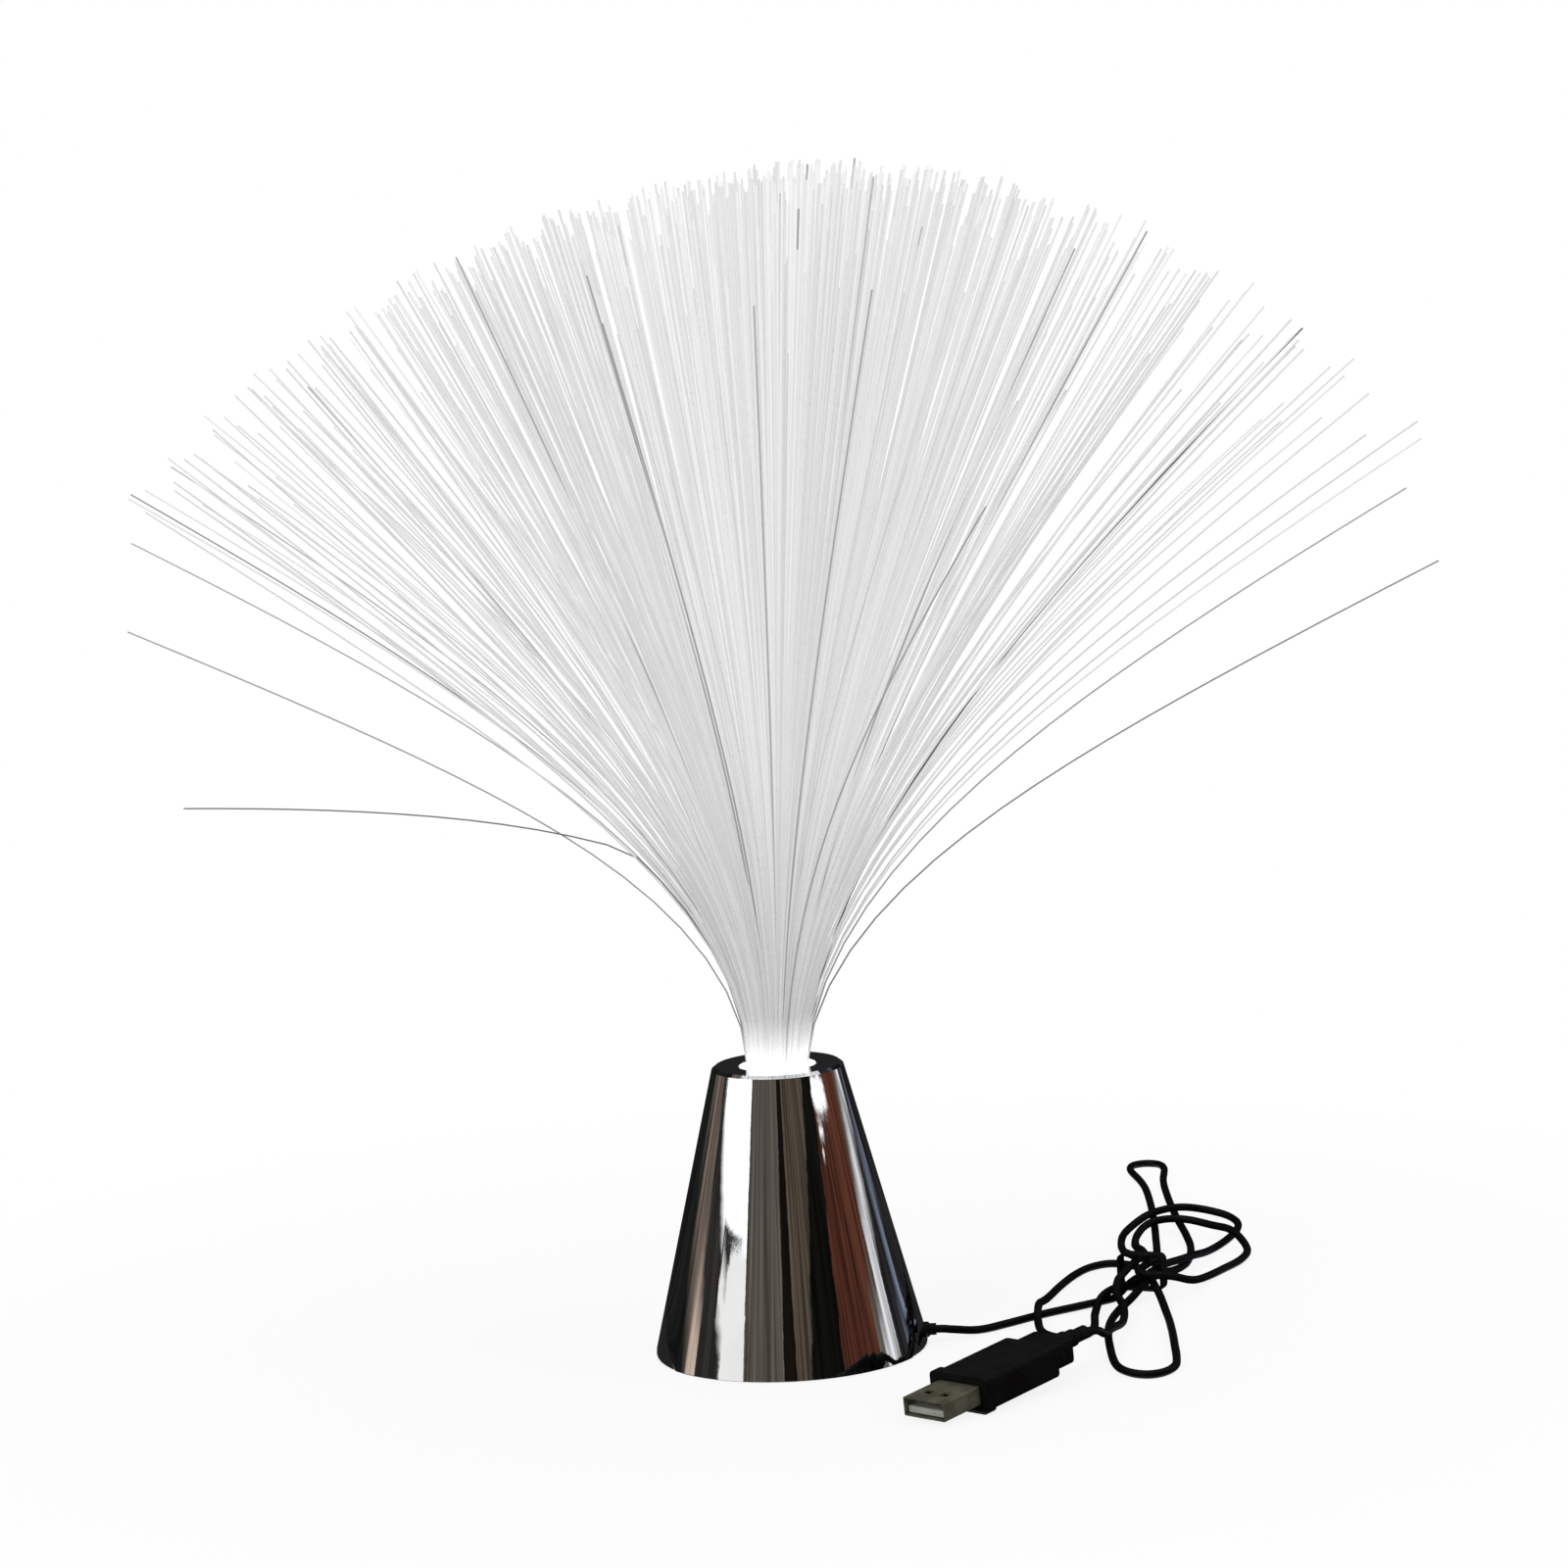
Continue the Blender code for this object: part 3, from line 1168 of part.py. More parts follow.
def build_plug_shell():
    """The metal shell with its tongue and contacts."""
    nickel = material("plug nickel", NICKEL, 0.3, 1.0)
    end = SHELL_REACH + SHELL_SEAT
    shell = block_piece("plug_shell", 0, end, SHELL_WIDTH, SHELL_THICKNESS, SHELL_SHEET, nickel)
    half_width = SHELL_WIDTH / 2 - SHELL_SHEET
    half_height = SHELL_THICKNESS / 2 - SHELL_SHEET
    bore = box_piece(
        "shell_bore", (-OVERRUN, -half_width, -half_height), (end + OVERRUN, half_width, half_height)
    )
    combine(shell, bore, "DIFFERENCE")
    pieces = [shell, bore]
    for name, side in (("left", 1), ("right", -1)):
        middle = side * SHELL_WINDOW_SPACING / 2
        low = (SHELL_WINDOW_PLACE - SHELL_WINDOW / 2, middle - SHELL_WINDOW / 2, -SHELL_THICKNESS)
        high = (SHELL_WINDOW_PLACE + SHELL_WINDOW / 2, middle + SHELL_WINDOW / 2, SHELL_THICKNESS)
        window = box_piece(f"shell_window_{name}", low, high)
        combine(shell, window, "DIFFERENCE")
        pieces.append(window)
    floor = CLEARANCE - half_height
    side = half_width - CLEARANCE
    plastic = material("tongue plastic", WHITE, 0.5)
    tongue = box_piece(
        "plug_tongue", (TONGUE_INSET, -side, floor), (end, side, floor + TONGUE_THICKNESS), plastic
    )
    block = box_piece(
        "tongue_block", (TONGUE_INSET + TONGUE_REACH, -side, floor), (end, side, half_height - CLEARANCE)
    )
    combine(tongue, block, "UNION")
    pieces += [tongue, block]
    gold = material("contact gold", GOLD, 0.25, 1.0)
    foot = floor + TONGUE_THICKNESS + CLEARANCE
    start = TONGUE_INSET + TONGUE_REACH - CONTACT_LENGTH - CLEARANCE
    for number in range(CONTACT_COUNT):
        middle = (number - (CONTACT_COUNT - 1) / 2) * CONTACT_SPACING
        low = (start, middle - CONTACT_WIDTH / 2, foot)
        high = (start + CONTACT_LENGTH, middle + CONTACT_WIDTH / 2, foot + CONTACT_THICKNESS)
        pieces.append(box_piece(f"plug_contact_{number + 1}", low, high, gold))
    return pieces


def main():
    clear_scene()
    build_base_shell()
    build_pad()
    build_cover()
    build_screws()
    build_board()
    build_board_parts()
    build_led()
    build_bundle_holders()
    build_fibre_spray()
    build_switch()
    build_grommet()
    build_wires()
    build_tie(build_cord())
    build_plug()


main()
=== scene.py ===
"""The dressed fibre optic lamp: materials, fibres, cord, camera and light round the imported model.

All lengths are metres, in the model's own frame.
"""

import math
import random

import bpy
from mathutils import Matrix, Vector, noise


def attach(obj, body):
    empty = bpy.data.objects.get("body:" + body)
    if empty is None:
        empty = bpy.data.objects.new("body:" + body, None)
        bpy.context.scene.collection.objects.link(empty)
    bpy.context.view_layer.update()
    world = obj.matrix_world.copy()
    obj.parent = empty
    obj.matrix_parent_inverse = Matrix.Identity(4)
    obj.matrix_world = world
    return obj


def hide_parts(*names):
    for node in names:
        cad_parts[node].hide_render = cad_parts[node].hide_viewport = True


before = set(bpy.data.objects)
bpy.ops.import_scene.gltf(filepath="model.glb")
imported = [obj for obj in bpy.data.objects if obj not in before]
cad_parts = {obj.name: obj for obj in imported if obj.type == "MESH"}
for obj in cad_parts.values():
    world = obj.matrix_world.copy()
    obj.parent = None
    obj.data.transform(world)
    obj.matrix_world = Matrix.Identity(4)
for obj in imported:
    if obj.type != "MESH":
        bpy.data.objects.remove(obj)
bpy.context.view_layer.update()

# Camera, fitted to the ellipses of the cone
CAMERA_DISTANCE = 1.2
CAMERA_ELEVATION = math.radians(14.4048)
CAMERA_YAW = math.radians(0.2519)
CAMERA_PITCH = math.radians(7.8974)
CAMERA_ROLL = math.radians(3.0059)
FOCAL_PIXELS = 5044.3
IMAGE_PIXELS = 1600
SENSOR_MM = 36
CLIP_RANGE = (0.01, 100)

# Base
BASE_DIAMETER = 0.066
BASE_TOP_DIAMETER = 0.0314
BASE_HEIGHT = 0.070
CONE_LEAN = math.atan((BASE_DIAMETER - BASE_TOP_DIAMETER) / 2 / BASE_HEIGHT)
WALL_MATCH = 0.985

# Chrome finish
CHROME_COLOURS = ((0.82, 0.83, 0.85), (0.90, 0.91, 0.93))
CHROME_SMEAR = 0.018
CHROME_SPECK = 0.0011
CHROME_HAIR = 0.004
CHROME_HAIR_STRETCH = (14, 14, 0.6)
CHROME_HAIR_DEPTH = 0.04
CHROME_WAVE = 0.016
CHROME_ROUGHNESS = (0.008, 0.03)
CHROME_SPECK_ROUGHNESS = (0, 0.04)
CHROME_SPECK_SPAN = (0.62, 0.8)
CHROME_BUMP = 0.03
CHROME_BUMP_DEPTH = 0.0010

# Cord, as in the model
CORD_DIAMETER = 0.0020
CORD_RADIUS = CORD_DIAMETER / 2
CORD_HEIGHT = 0.0029
CORD_GAP = 0.0007
CORD_START = 0.0352
CORD_START_HIDDEN = 0.0008
CORD_ROUNDNESS = 4
TIE_PLACE = (0.088, 0.040)
TIE_HEADING = math.radians(66)
TIE_LENGTH = 0.0040
TIE_FLOOR = 0.0009
TIE_RUN = 0.0120
COLUMN_STEP = CORD_DIAMETER + CORD_GAP
HUMP_LENGTH = 0.0125
LAY_STEP = 0.0010
LAY_PASSES = 8
VALLEY_PASSES = 12
VALLEY_REACH = 0.0030
EVENING_REACH = 3
CURVE_SUBSTEPS = 4
LEAD_ROUTE = ((0.0430, 0.0020), (0.0520, 0.0086), (0.0620, 0.0165), (0.0708, 0.0222))
TAIL_ROUTE = ((0.0800, 0.0205), (0.0810, 0.0100), (0.0795, -0.0020), (0.0755, -0.0140))

# Each run of the tied cord: the tie's column that it passes, the way through it (1 is onwards)
# and the free points that follow
LOOPS = (
    (-1, 1, (
        (0.0890, 0.0520), (0.0886, 0.0575), (0.0860, 0.0626), (0.0813, 0.0646), (0.0766, 0.0618),
        (0.0728, 0.0560), (0.0693, 0.0480), (0.0658, 0.0380), (0.0623, 0.0250), (0.0602, 0.0120),
        (0.0598, 0.0020), (0.0606, -0.0030), (0.0630, -0.0068), (0.0663, -0.0082),
        (0.0698, -0.0068), (0.0722, -0.0030), (0.0733, 0.0030), (0.0742, 0.0130), (0.0770, 0.0235),
    )),
    (0, 1, (
        (0.0926, 0.0560), (0.0942, 0.0700), (0.0956, 0.0900), (0.0968, 0.1100), (0.0976, 0.1300),
        (0.0978, 0.1480), (0.0972, 0.1580), (0.0962, 0.1660), (0.0957, 0.1710), (0.0959, 0.1752),
        (0.0973, 0.1782), (0.1003, 0.1795), (0.1033, 0.1782), (0.1047, 0.1752), (0.1049, 0.1710),
        (0.1044, 0.1660), (0.1035, 0.1580), (0.1030, 0.1480), (0.1028, 0.1300), (0.1030, 0.1100),
        (0.1036, 0.0920), (0.1034, 0.0760), (0.1012, 0.0620), (0.0976, 0.0525),
    )),
    (1, -1, (
        (0.0846, 0.0260), (0.0806, 0.0170), (0.0775, 0.0060), (0.0759, -0.0060), (0.0753, -0.0200),
        (0.0753, -0.0330), (0.0763, -0.0395), (0.0790, -0.0442), (0.0826, -0.0459),
        (0.0862, -0.0442), (0.0889, -0.0395), (0.0899, -0.0330), (0.0906, -0.0200),
        (0.0912, -0.0060), (0.0914, 0.0080), (0.0909, 0.0210),
    )),
    (1.5, 1, (
        (0.0985, 0.0520), (0.1035, 0.0620), (0.1085, 0.0730), (0.1135, 0.0840), (0.1170, 0.0940),
        (0.1180, 0.1030), (0.1154, 0.1104), (0.1095, 0.1138), (0.1025, 0.1123), (0.0967, 0.1080),
        (0.0914, 0.1020), (0.0878, 0.0950), (0.0863, 0.0860), (0.0860, 0.0760), (0.0866, 0.0640),
        (0.0893, 0.0525),
    )),
    (0.5, -1, (
        (0.0866, 0.0306), (0.0879, 0.0276), (0.0914, 0.0263), (0.0954, 0.0286), (0.0993, 0.0350),
        (0.1035, 0.0430), (0.1090, 0.0520), (0.1145, 0.0610), (0.1173, 0.0700), (0.1159, 0.0805),
        (0.1117, 0.0895), (0.1060, 0.0970), (0.1000, 0.0996), (0.0944, 0.0964), (0.0908, 0.0895),
        (0.0894, 0.0800), (0.0888, 0.0690), (0.0880, 0.0570),
    )),
    (-0.5, -1, ()),
)

# Plug, as in the model
PLUG_NOSE = (0.0290, -0.0745)
PLUG_HEADING = math.radians(48)
PLUG_TILT = math.radians(4.5)
PLUG_LENGTH = 0.0595
PLUG_FRONT_HALF = 0.0043
SHELL_REACH = 0.0125

# Fibres
BUNDLE_RADIUS = 0.00725
BUNDLE_HEAD = 0.0697
STRAND_PITCH = 0.000755
FIBRE_PITCH = STRAND_PITCH / 2
FIBRE_RADIUS = 0.00030
FIBRE_RADIUS_SPREAD = 0.00010
FIBRE_LENGTH = 0.2125
FIBRE_LENGTH_SPREAD = 0.0060
FIBRE_PATH_STEPS = 60
FIBRE_BEND_LENGTH = 0.052
FIBRE_FAN_ANGLE = math.radians(46)
FIBRE_FAN_POWER = 1.6
FIBRE_STRAY_ANGLE = math.radians(25)
FIBRE_STRAY_POWER = 8
FIBRE_LEAN_SHARE = 0.058
FIBRE_SIDES = 6
FIBRE_RINGS = 20
FIBRE_SIDEWAYS = (0.3, 1, 0.1)
FIBRE_TAPER = 0.10
FIBRE_PIECES = 5
CREASE_START = 0.0567
CREASE_LENGTH = 0.0122
SEED = 11

# How the fibres between the model's strands differ from them; a share is of the bundle's radius
SWAY_SCALE = 520
SWAY_LAYER = 0.003
SWAY_LEAN = math.radians(2.1)
SWAY_TURN = math.radians(2.0)
SWAY_TURN_SHARE = 0.25
SWAY_BEND = 0.06
SWAY_TONE = 0.10
LEAN_CHANCE = math.radians(0.5)
LEAN_PAST_MODEL = math.radians(1)
SPARSE_SHARE = 0.8
SPARSE_SWAY = 0.02
THIN_SIDE_SHARE = 0.55
THIN_SIDE_CHANCE = 0.5
EARLY_BEND = 0.24
EARLY_LENGTH = 0.0050
ADDED_LENGTH = 0.0022

# Fibre tones and finish; the glow and the painted light along each fibre, which lifts the fibres'
# shading, are by share of the fibre's length
FIBRE_TONE = 0.90
FIBRE_TONE_SPREAD = 0.06
# How much darker the outer fibres are painted: painted shade at the fan's edge
OUTER_FIBRE_PAINTED_SHADE = 0.10
DARK_FIBRE_CHANCE = 0.02
DARK_FIBRE_TONES = (0.45, 0.70)
FIBRE_COLOURS = ((0.02, 0.02, 0.021), (0.62, 0.62, 0.62))
FIBRE_STREAK = 0.003
FIBRE_STREAK_DEPTH = 0.03
FIBRE_ROUGHNESS = (0.26, 0.40)
FIBRE_BUMP = 0.04
FIBRE_BUMP_DEPTH = 0.0002
FIBRE_LIGHT = (0.99, 0.99, 0.99, 1)
GLOW_REACH = 0.065
GLOW_POWER = 1.5
GLOW_STRENGTH = 0.60
# Painted light along each fibre: its power on the fibre's tone, and its strength over a span of the
# length
PAINTED_FIBRE_LIGHT_POWER = 2.0
PAINTED_FIBRE_LIGHT_STRENGTH = (0.28, 0.41)
PAINTED_FIBRE_LIGHT_SPAN = (0.03, 0.35)

# Lit clear plastic
LIT_COLOURS = ((0.90, 0.92, 0.95), (0.97, 0.98, 1.0))
LIT_LIGHT = (0.98, 0.99, 1.0, 1)
LIT_CLOUD = 0.0022
LIT_ROUGHNESS = (0.22, 0.38)
LIT_SPREAD = 0.1
LIT_BUMP = 0.05
LIT_BUMP_DEPTH = 0.0004
COLLAR_LIGHT = 0.75
SOURCE_LIGHT = 2.0

# Grain of the plain finishes
GRAIN_ROUGHNESS = 0.03

# Studio
FLOOR_HALF_SIZE = 40
FLOOR_DROP = 0.0001
FLOOR_TONE = (0.86, 0.86, 0.86, 1)
FLOOR_ROUGHNESS = 0.9
FLOOR_LIFT = (0.86, 1.0)
FLOOR_LIFT_SPAN = (0.07, 0.30)
WORLD_STRENGTH = 0.62
LAMP_AIM = (0, 0, 0.12)
LAMPS = (
    ("key_light", (-0.9, -1.0, 1.3), 0.8, 9.0),
    ("fill_light", (1.1, -0.5, 0.9), 0.9, 3.5),
)


def named_mesh(name, points, faces):
    """A new mesh object in the scene."""
    mesh = bpy.data.meshes.new(name)
    mesh.from_pydata(points, [], faces)
    mesh.update()
    obj = bpy.data.objects.new(name, mesh)
    bpy.context.scene.collection.objects.link(obj)
    return obj


def smooth(obj):
    for face in obj.data.polygons:
        face.use_smooth = True


class Tree:
    """A node tree, with short calls to add and join nodes."""

    def __init__(self, tree):
        self.tree = tree

    def add(self, kind, **settings):
        node = self.tree.nodes.new(kind)
        for key, value in settings.items():
            setattr(node, key, value)
        return node

    def join(self, source, target):
        self.tree.links.new(source, target)

    def math(self, operation, first, second):
        node = self.add("ShaderNodeMath", operation=operation)
        for socket, value in zip(node.inputs, (first, second)):
            if isinstance(value, (int, float)):
                socket.default_value = value
            else:
                self.join(value, socket)
        return node.outputs["Value"]

    def seen(self):
        """1 for rays from the camera, mirrored rays and rays through clear pieces, else 0."""
        rays = self.add("ShaderNodeLightPath").outputs
        seen = self.math("MAXIMUM", rays["Is Camera Ray"], rays["Is Glossy Ray"])
        return self.math("MAXIMUM", seen, rays["Is Transmission Ray"])

    def mix_shaders(self, factor, first, second, surface):
        """Sends the first shader to the surface, and the second where the factor is 1."""
        mix = self.add("ShaderNodeMixShader")
        self.join(factor, mix.inputs["Fac"])
        self.join(first, mix.inputs[1])
        self.join(second, mix.inputs[2])
        self.join(mix.outputs["Shader"], surface)


class Nodes(Tree):
    """The node tree of a new material."""

    def __init__(self, name):
        self.material = bpy.data.materials.new(name)
        self.material.use_nodes = True
        super().__init__(self.material.node_tree)
        self.shader = self.tree.nodes["Principled BSDF"]
        self.output = self.tree.nodes["Material Output"]

    def set(self, name, value):
        self.shader.inputs[name].default_value = value

    def feed(self, name, source):
        self.join(source, self.shader.inputs[name])

    def coordinates(self):
        return self.add("ShaderNodeTexCoord").outputs["Object"]

    def noise(self, size, detail=3.0, roughness=0.55, stretch=None):
        """Noise whose lumps are about this size, in metres."""
        source = self.coordinates()
        if stretch:
            mapping = self.add("ShaderNodeMapping")
            mapping.inputs["Scale"].default_value = stretch
            self.join(source, mapping.inputs["Vector"])
            source = mapping.outputs["Vector"]
        node = self.add("ShaderNodeTexNoise")
        node.inputs["Scale"].default_value = 1 / size
        node.inputs["Detail"].default_value = detail
        node.inputs["Roughness"].default_value = roughness
        self.join(source, node.inputs["Vector"])
        return node.outputs["Fac"]

    def ramp(self, value, low, high, start=0.3, end=0.7):
        node = self.add("ShaderNodeMapRange")
        node.inputs["From Min"].default_value = start
        node.inputs["From Max"].default_value = end
        node.inputs["To Min"].default_value = low
        node.inputs["To Max"].default_value = high
        self.join(value, node.inputs["Value"])
        return node.outputs["Result"]

    def blend(self, factor, first, second):
        node = self.add("ShaderNodeMix", data_type="RGBA")
        self.join(factor, node.inputs["Factor"])
        colour_in = [socket for socket in node.inputs if socket.type == "RGBA"]
        for socket, value in zip(colour_in, (first, second)):
            if isinstance(value, tuple):
                socket.default_value = (*value, 1)
            else:
                self.join(value, socket)
        return next(socket for socket in node.outputs if socket.type == "RGBA")

    def bump(self, height, strength, distance):
        node = self.add("ShaderNodeBump")
        node.inputs["Strength"].default_value = strength
        node.inputs["Distance"].default_value = distance
        self.join(height, node.inputs["Height"])
        self.feed("Normal", node.outputs["Normal"])
        return node

    def vector_math(self, operation, first, second=None, output="Vector"):
        node = self.add("ShaderNodeVectorMath", operation=operation)
        for socket, value in zip(node.inputs, (first, second)):
            if isinstance(value, tuple):
                socket.default_value = value
            elif value is not None:
                self.join(value, socket)
        return node.outputs[output]

    def cone_normal(self):
        """The turned cone's smooth normal on its wall, and the mesh's own elsewhere."""
        across, up = math.cos(CONE_LEAN), math.sin(CONE_LEAN)
        level = self.vector_math("MULTIPLY", self.coordinates(), (1, 1, 0))
        outwards = self.vector_math("NORMALIZE", level)
        scaled = self.vector_math("MULTIPLY", outwards, (across, across, 0))
        turned = self.vector_math("ADD", scaled, (0, 0, up))
        mesh = self.add("ShaderNodeNewGeometry").outputs
        facing = self.vector_math("DOT_PRODUCT", mesh["True Normal"], turned, output="Value")
        mix = self.add("ShaderNodeMix", data_type="VECTOR")
        self.join(self.math("GREATER_THAN", facing, WALL_MATCH), mix.inputs[0])
        vectors = [socket for socket in mix.inputs if socket.type == "VECTOR" and socket.enabled]
        self.join(mesh["Normal"], vectors[-2])
        self.join(turned, vectors[-1])
        return next(socket for socket in mix.outputs if socket.type == "VECTOR")


def surface(name, dark, light, roughness, grain, bump, metallic=0.0, patch=0.006, gloss=0.5):
    """A finish with patchy colour and roughness over a fine grain."""
    nodes = Nodes(name)
    patches = nodes.noise(patch)
    fine = nodes.noise(grain, detail=2.0)
    nodes.feed("Base Color", nodes.blend(nodes.ramp(patches, 0, 1), dark, light))
    rough = nodes.ramp(patches, *roughness)
    uneven = nodes.ramp(fine, -GRAIN_ROUGHNESS, GRAIN_ROUGHNESS)
    nodes.feed("Roughness", nodes.math("ADD", rough, uneven))
    nodes.bump(fine, bump, grain)
    nodes.set("Metallic", metallic)
    nodes.set("Specular IOR Level", gloss)
    return nodes.material


def chrome_finish():
    """Mirror plating with faint waves, smears and hairline scratches."""
    nodes = Nodes("chrome plating")
    smear = nodes.noise(CHROME_SMEAR, detail=4.0)
    speck = nodes.noise(CHROME_SPECK, detail=2.0)
    hair = nodes.noise(CHROME_HAIR, detail=3.0, stretch=CHROME_HAIR_STRETCH)
    nodes.feed("Base Color", nodes.blend(nodes.ramp(smear, 0, 1), *CHROME_COLOURS))
    specks = nodes.ramp(speck, *CHROME_SPECK_ROUGHNESS, *CHROME_SPECK_SPAN)
    nodes.feed("Roughness", nodes.math("ADD", nodes.ramp(smear, *CHROME_ROUGHNESS), specks))
    wave = nodes.noise(CHROME_WAVE, detail=2.0)
    waves = nodes.math("ADD", wave, nodes.math("MULTIPLY", hair, CHROME_HAIR_DEPTH))
    bump = nodes.bump(waves, CHROME_BUMP, CHROME_BUMP_DEPTH)
    nodes.join(nodes.cone_normal(), bump.inputs["Normal"])
    nodes.set("Metallic", 1.0)
    return nodes.material


def fibre_finish():
    """Clear drawn plastic that glows near the bundle, with painted light along each fibre that
    lifts its shading; each fibre its own tone.
    """
    nodes = Nodes("fibre plastic")
    tone = nodes.add("ShaderNodeAttribute", attribute_name="tone").outputs["Fac"]
    along = nodes.add("ShaderNodeAttribute", attribute_name="along").outputs["Fac"]
    streak = nodes.noise(FIBRE_STREAK, detail=2.0)
    streaks = nodes.ramp(streak, -FIBRE_STREAK_DEPTH, FIBRE_STREAK_DEPTH)
    shade = nodes.math("ADD", tone, streaks)
    nodes.feed("Base Color", nodes.blend(shade, *FIBRE_COLOURS))
    nodes.feed("Roughness", nodes.ramp(streak, *FIBRE_ROUGHNESS))
    glow = nodes.math("POWER", nodes.ramp(along, 1.0, 0.0, 0.0, GLOW_REACH), GLOW_POWER)
    # Painted light along each fibre, stronger on lighter fibres, that lifts the fibres' shading
    strength = nodes.ramp(along, *PAINTED_FIBRE_LIGHT_STRENGTH, *PAINTED_FIBRE_LIGHT_SPAN)
    painted_light = nodes.math("MULTIPLY", nodes.math("POWER", tone, PAINTED_FIBRE_LIGHT_POWER), strength)
    light = nodes.math("ADD", nodes.math("MULTIPLY", glow, GLOW_STRENGTH), painted_light)
    nodes.set("Emission Color", FIBRE_LIGHT)
    nodes.feed("Emission Strength", light)
    nodes.bump(streak, FIBRE_BUMP, FIBRE_BUMP_DEPTH)
    return nodes.material


def lit_finish(name, strength):
    """Milky clear plastic that glows unevenly."""
    nodes = Nodes(name)
    cloud = nodes.noise(LIT_CLOUD)
    nodes.feed("Base Color", nodes.blend(nodes.ramp(cloud, 0, 1), *LIT_COLOURS))
    nodes.feed("Roughness", nodes.ramp(cloud, *LIT_ROUGHNESS))
    nodes.set("Emission Color", LIT_LIGHT)
    light = nodes.ramp(cloud, strength * (1 - LIT_SPREAD), strength * (1 + LIT_SPREAD))
    nodes.feed("Emission Strength", light)
    nodes.bump(cloud, LIT_BUMP, LIT_BUMP_DEPTH)
    return nodes.material


def paint(material, *names):
    """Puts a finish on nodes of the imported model."""
    for name in names:
        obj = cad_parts[name]
        obj.data.materials.clear()
        obj.data.materials.append(material)


def unit(radians):
    """The flat direction at this angle from +X."""
    return Vector((math.cos(radians), math.sin(radians)))


def even_points(points, step):
    """Points along the same line, as near to this step apart as its length allows."""
    lengths = [0.0]
    for a, b in zip(points, points[1:]):
        lengths.append(lengths[-1] + (b - a).length)
    count = max(2, round(lengths[-1] / step))
    chosen, at = [], 0
    for index in range(count + 1):
        want = lengths[-1] * index / count
        while at < len(points) - 2 and lengths[at + 1] < want:
            at += 1
        gap = lengths[at + 1] - lengths[at]
        chosen.append(points[at].lerp(points[at + 1], (want - lengths[at]) / gap if gap else 0))
    return chosen


def smooth_curve(points, step):
    """Points at an even step along a smooth curve through the given ones."""
    points = [Vector(point) for point in points]
    ends = [2 * points[0] - points[1]] + points + [2 * points[-1] - points[-2]]
    fine = []
    for before, start, end, after in zip(ends, ends[1:], ends[2:], ends[3:]):
        span = (end - start).length
        leave = (end - before) * (span / ((end - start).length + (start - before).length))
        arrive = (after - start) * (span / ((after - end).length + (end - start).length))
        count = max(2, math.ceil(span / step) * CURVE_SUBSTEPS)
        for index in range(count):
            t = index / count
            fine.append(
                start * (2 * t**3 - 3 * t**2 + 1) + end * (3 * t**2 - 2 * t**3)
                + leave * (t**3 - 2 * t**2 + t) + arrive * (t**3 - t**2)
            )
    fine.append(points[-1])
    return even_points(fine, step)


def tie_point(column, along):
    """The flat place in one of the tie's columns, this far along from the tie's middle."""
    ahead = unit(TIE_HEADING)
    right = Vector((ahead.y, -ahead.x))
    return Vector(TIE_PLACE) + right * (column * COLUMN_STEP) + ahead * along


def loops_route():
    """The flat route of the tied cord, which runs straight each time it passes the tie."""
    last = len(LOOPS) - 1
    route = []
    for number, (column, way, free_points) in enumerate(LOOPS):
        before = -TIE_RUN if number == 0 else -TIE_RUN / 2
        after = TIE_RUN if number == last else TIE_RUN / 2
        stops = [before, -TIE_LENGTH / 2, TIE_LENGTH / 2, after]
        route += [tie_point(column, way * stop) for stop in stops] + list(free_points)
    return route


def lay(route, beneath):
    """Lays a flat route on the surface and over the cord that already lies there.

    It returns points at an even step. Where the route meets an earlier stretch it rises over
    it in one long low hump, and at the tie it lies on the tie's band.
    """
    flat = smooth_curve([(*point, 0) for point in route], LAY_STEP)
    apart = CORD_DIAMETER + CORD_GAP
    skip = round(2 * apart / LAY_STEP)
    ahead = unit(TIE_HEADING)
    floor, crossings = [], []
    for here, point in enumerate(flat):
        need = CORD_RADIUS
        offset = point.xy - Vector(TIE_PLACE)
        if abs(offset.dot(ahead)) < TIE_LENGTH and offset.length < TIE_RUN:
            need += TIE_FLOOR
        for other in beneath:
            away = (point.xy - other.xy).length
            joined = here < skip and (other.xy - flat[0].xy).length < 2 * apart
            if away < apart and not joined:
                need = max(need, other.z + math.sqrt(apart**2 - away**2))
        floor.append(need)
        for earlier in range(here - skip):
            away = (point.xy - flat[earlier].xy).length
            if away < apart:
                crossings.append((here, earlier, math.sqrt(apart**2 - away**2)))
    heights = floor
    for _ in range(LAY_PASSES):
        need = list(floor)
        for here, earlier, rise in crossings:
            need[here] = max(need[here], heights[earlier] + rise)
        heights = filled_valleys(humps_over(need))
    return [Vector((point.x, point.y, height)) for point, height in zip(flat, heights)]


def humps_over(need):
    """Heights with a long low hump over each point that has to be raised."""
    apart = CORD_DIAMETER + CORD_GAP
    heights = [CORD_RADIUS] * len(need)
    for here, height in enumerate(need):
        lift = height - CORD_RADIUS
        if lift <= 0:
            continue
        reach = max(1, round(HUMP_LENGTH * math.sqrt(lift / apart) / LAY_STEP))
        for index in range(max(0, here - reach), min(len(need), here + reach + 1)):
            share = abs(index - here) / reach
            heights[index] = max(heights[index], CORD_RADIUS + lift * easing(share))
    return heights


def filled_valleys(heights):
    """Rounds the sharp dips between humps, and lowers nothing."""
    reach = round(VALLEY_REACH / LAY_STEP)
    for _ in range(VALLEY_PASSES):
        means = list(heights)
        for index in range(reach, len(heights) - reach):
            near = heights[index - reach:index + reach + 1]
            means[index] = sum(near) / len(near)
        heights = [max(pair) for pair in zip(heights, means)]
    return heights


def easing(share):
    """Falls smoothly from 1 to 0 while the share grows from 0 to 1."""
    return (1 + math.cos(math.pi * min(1, share))) / 2


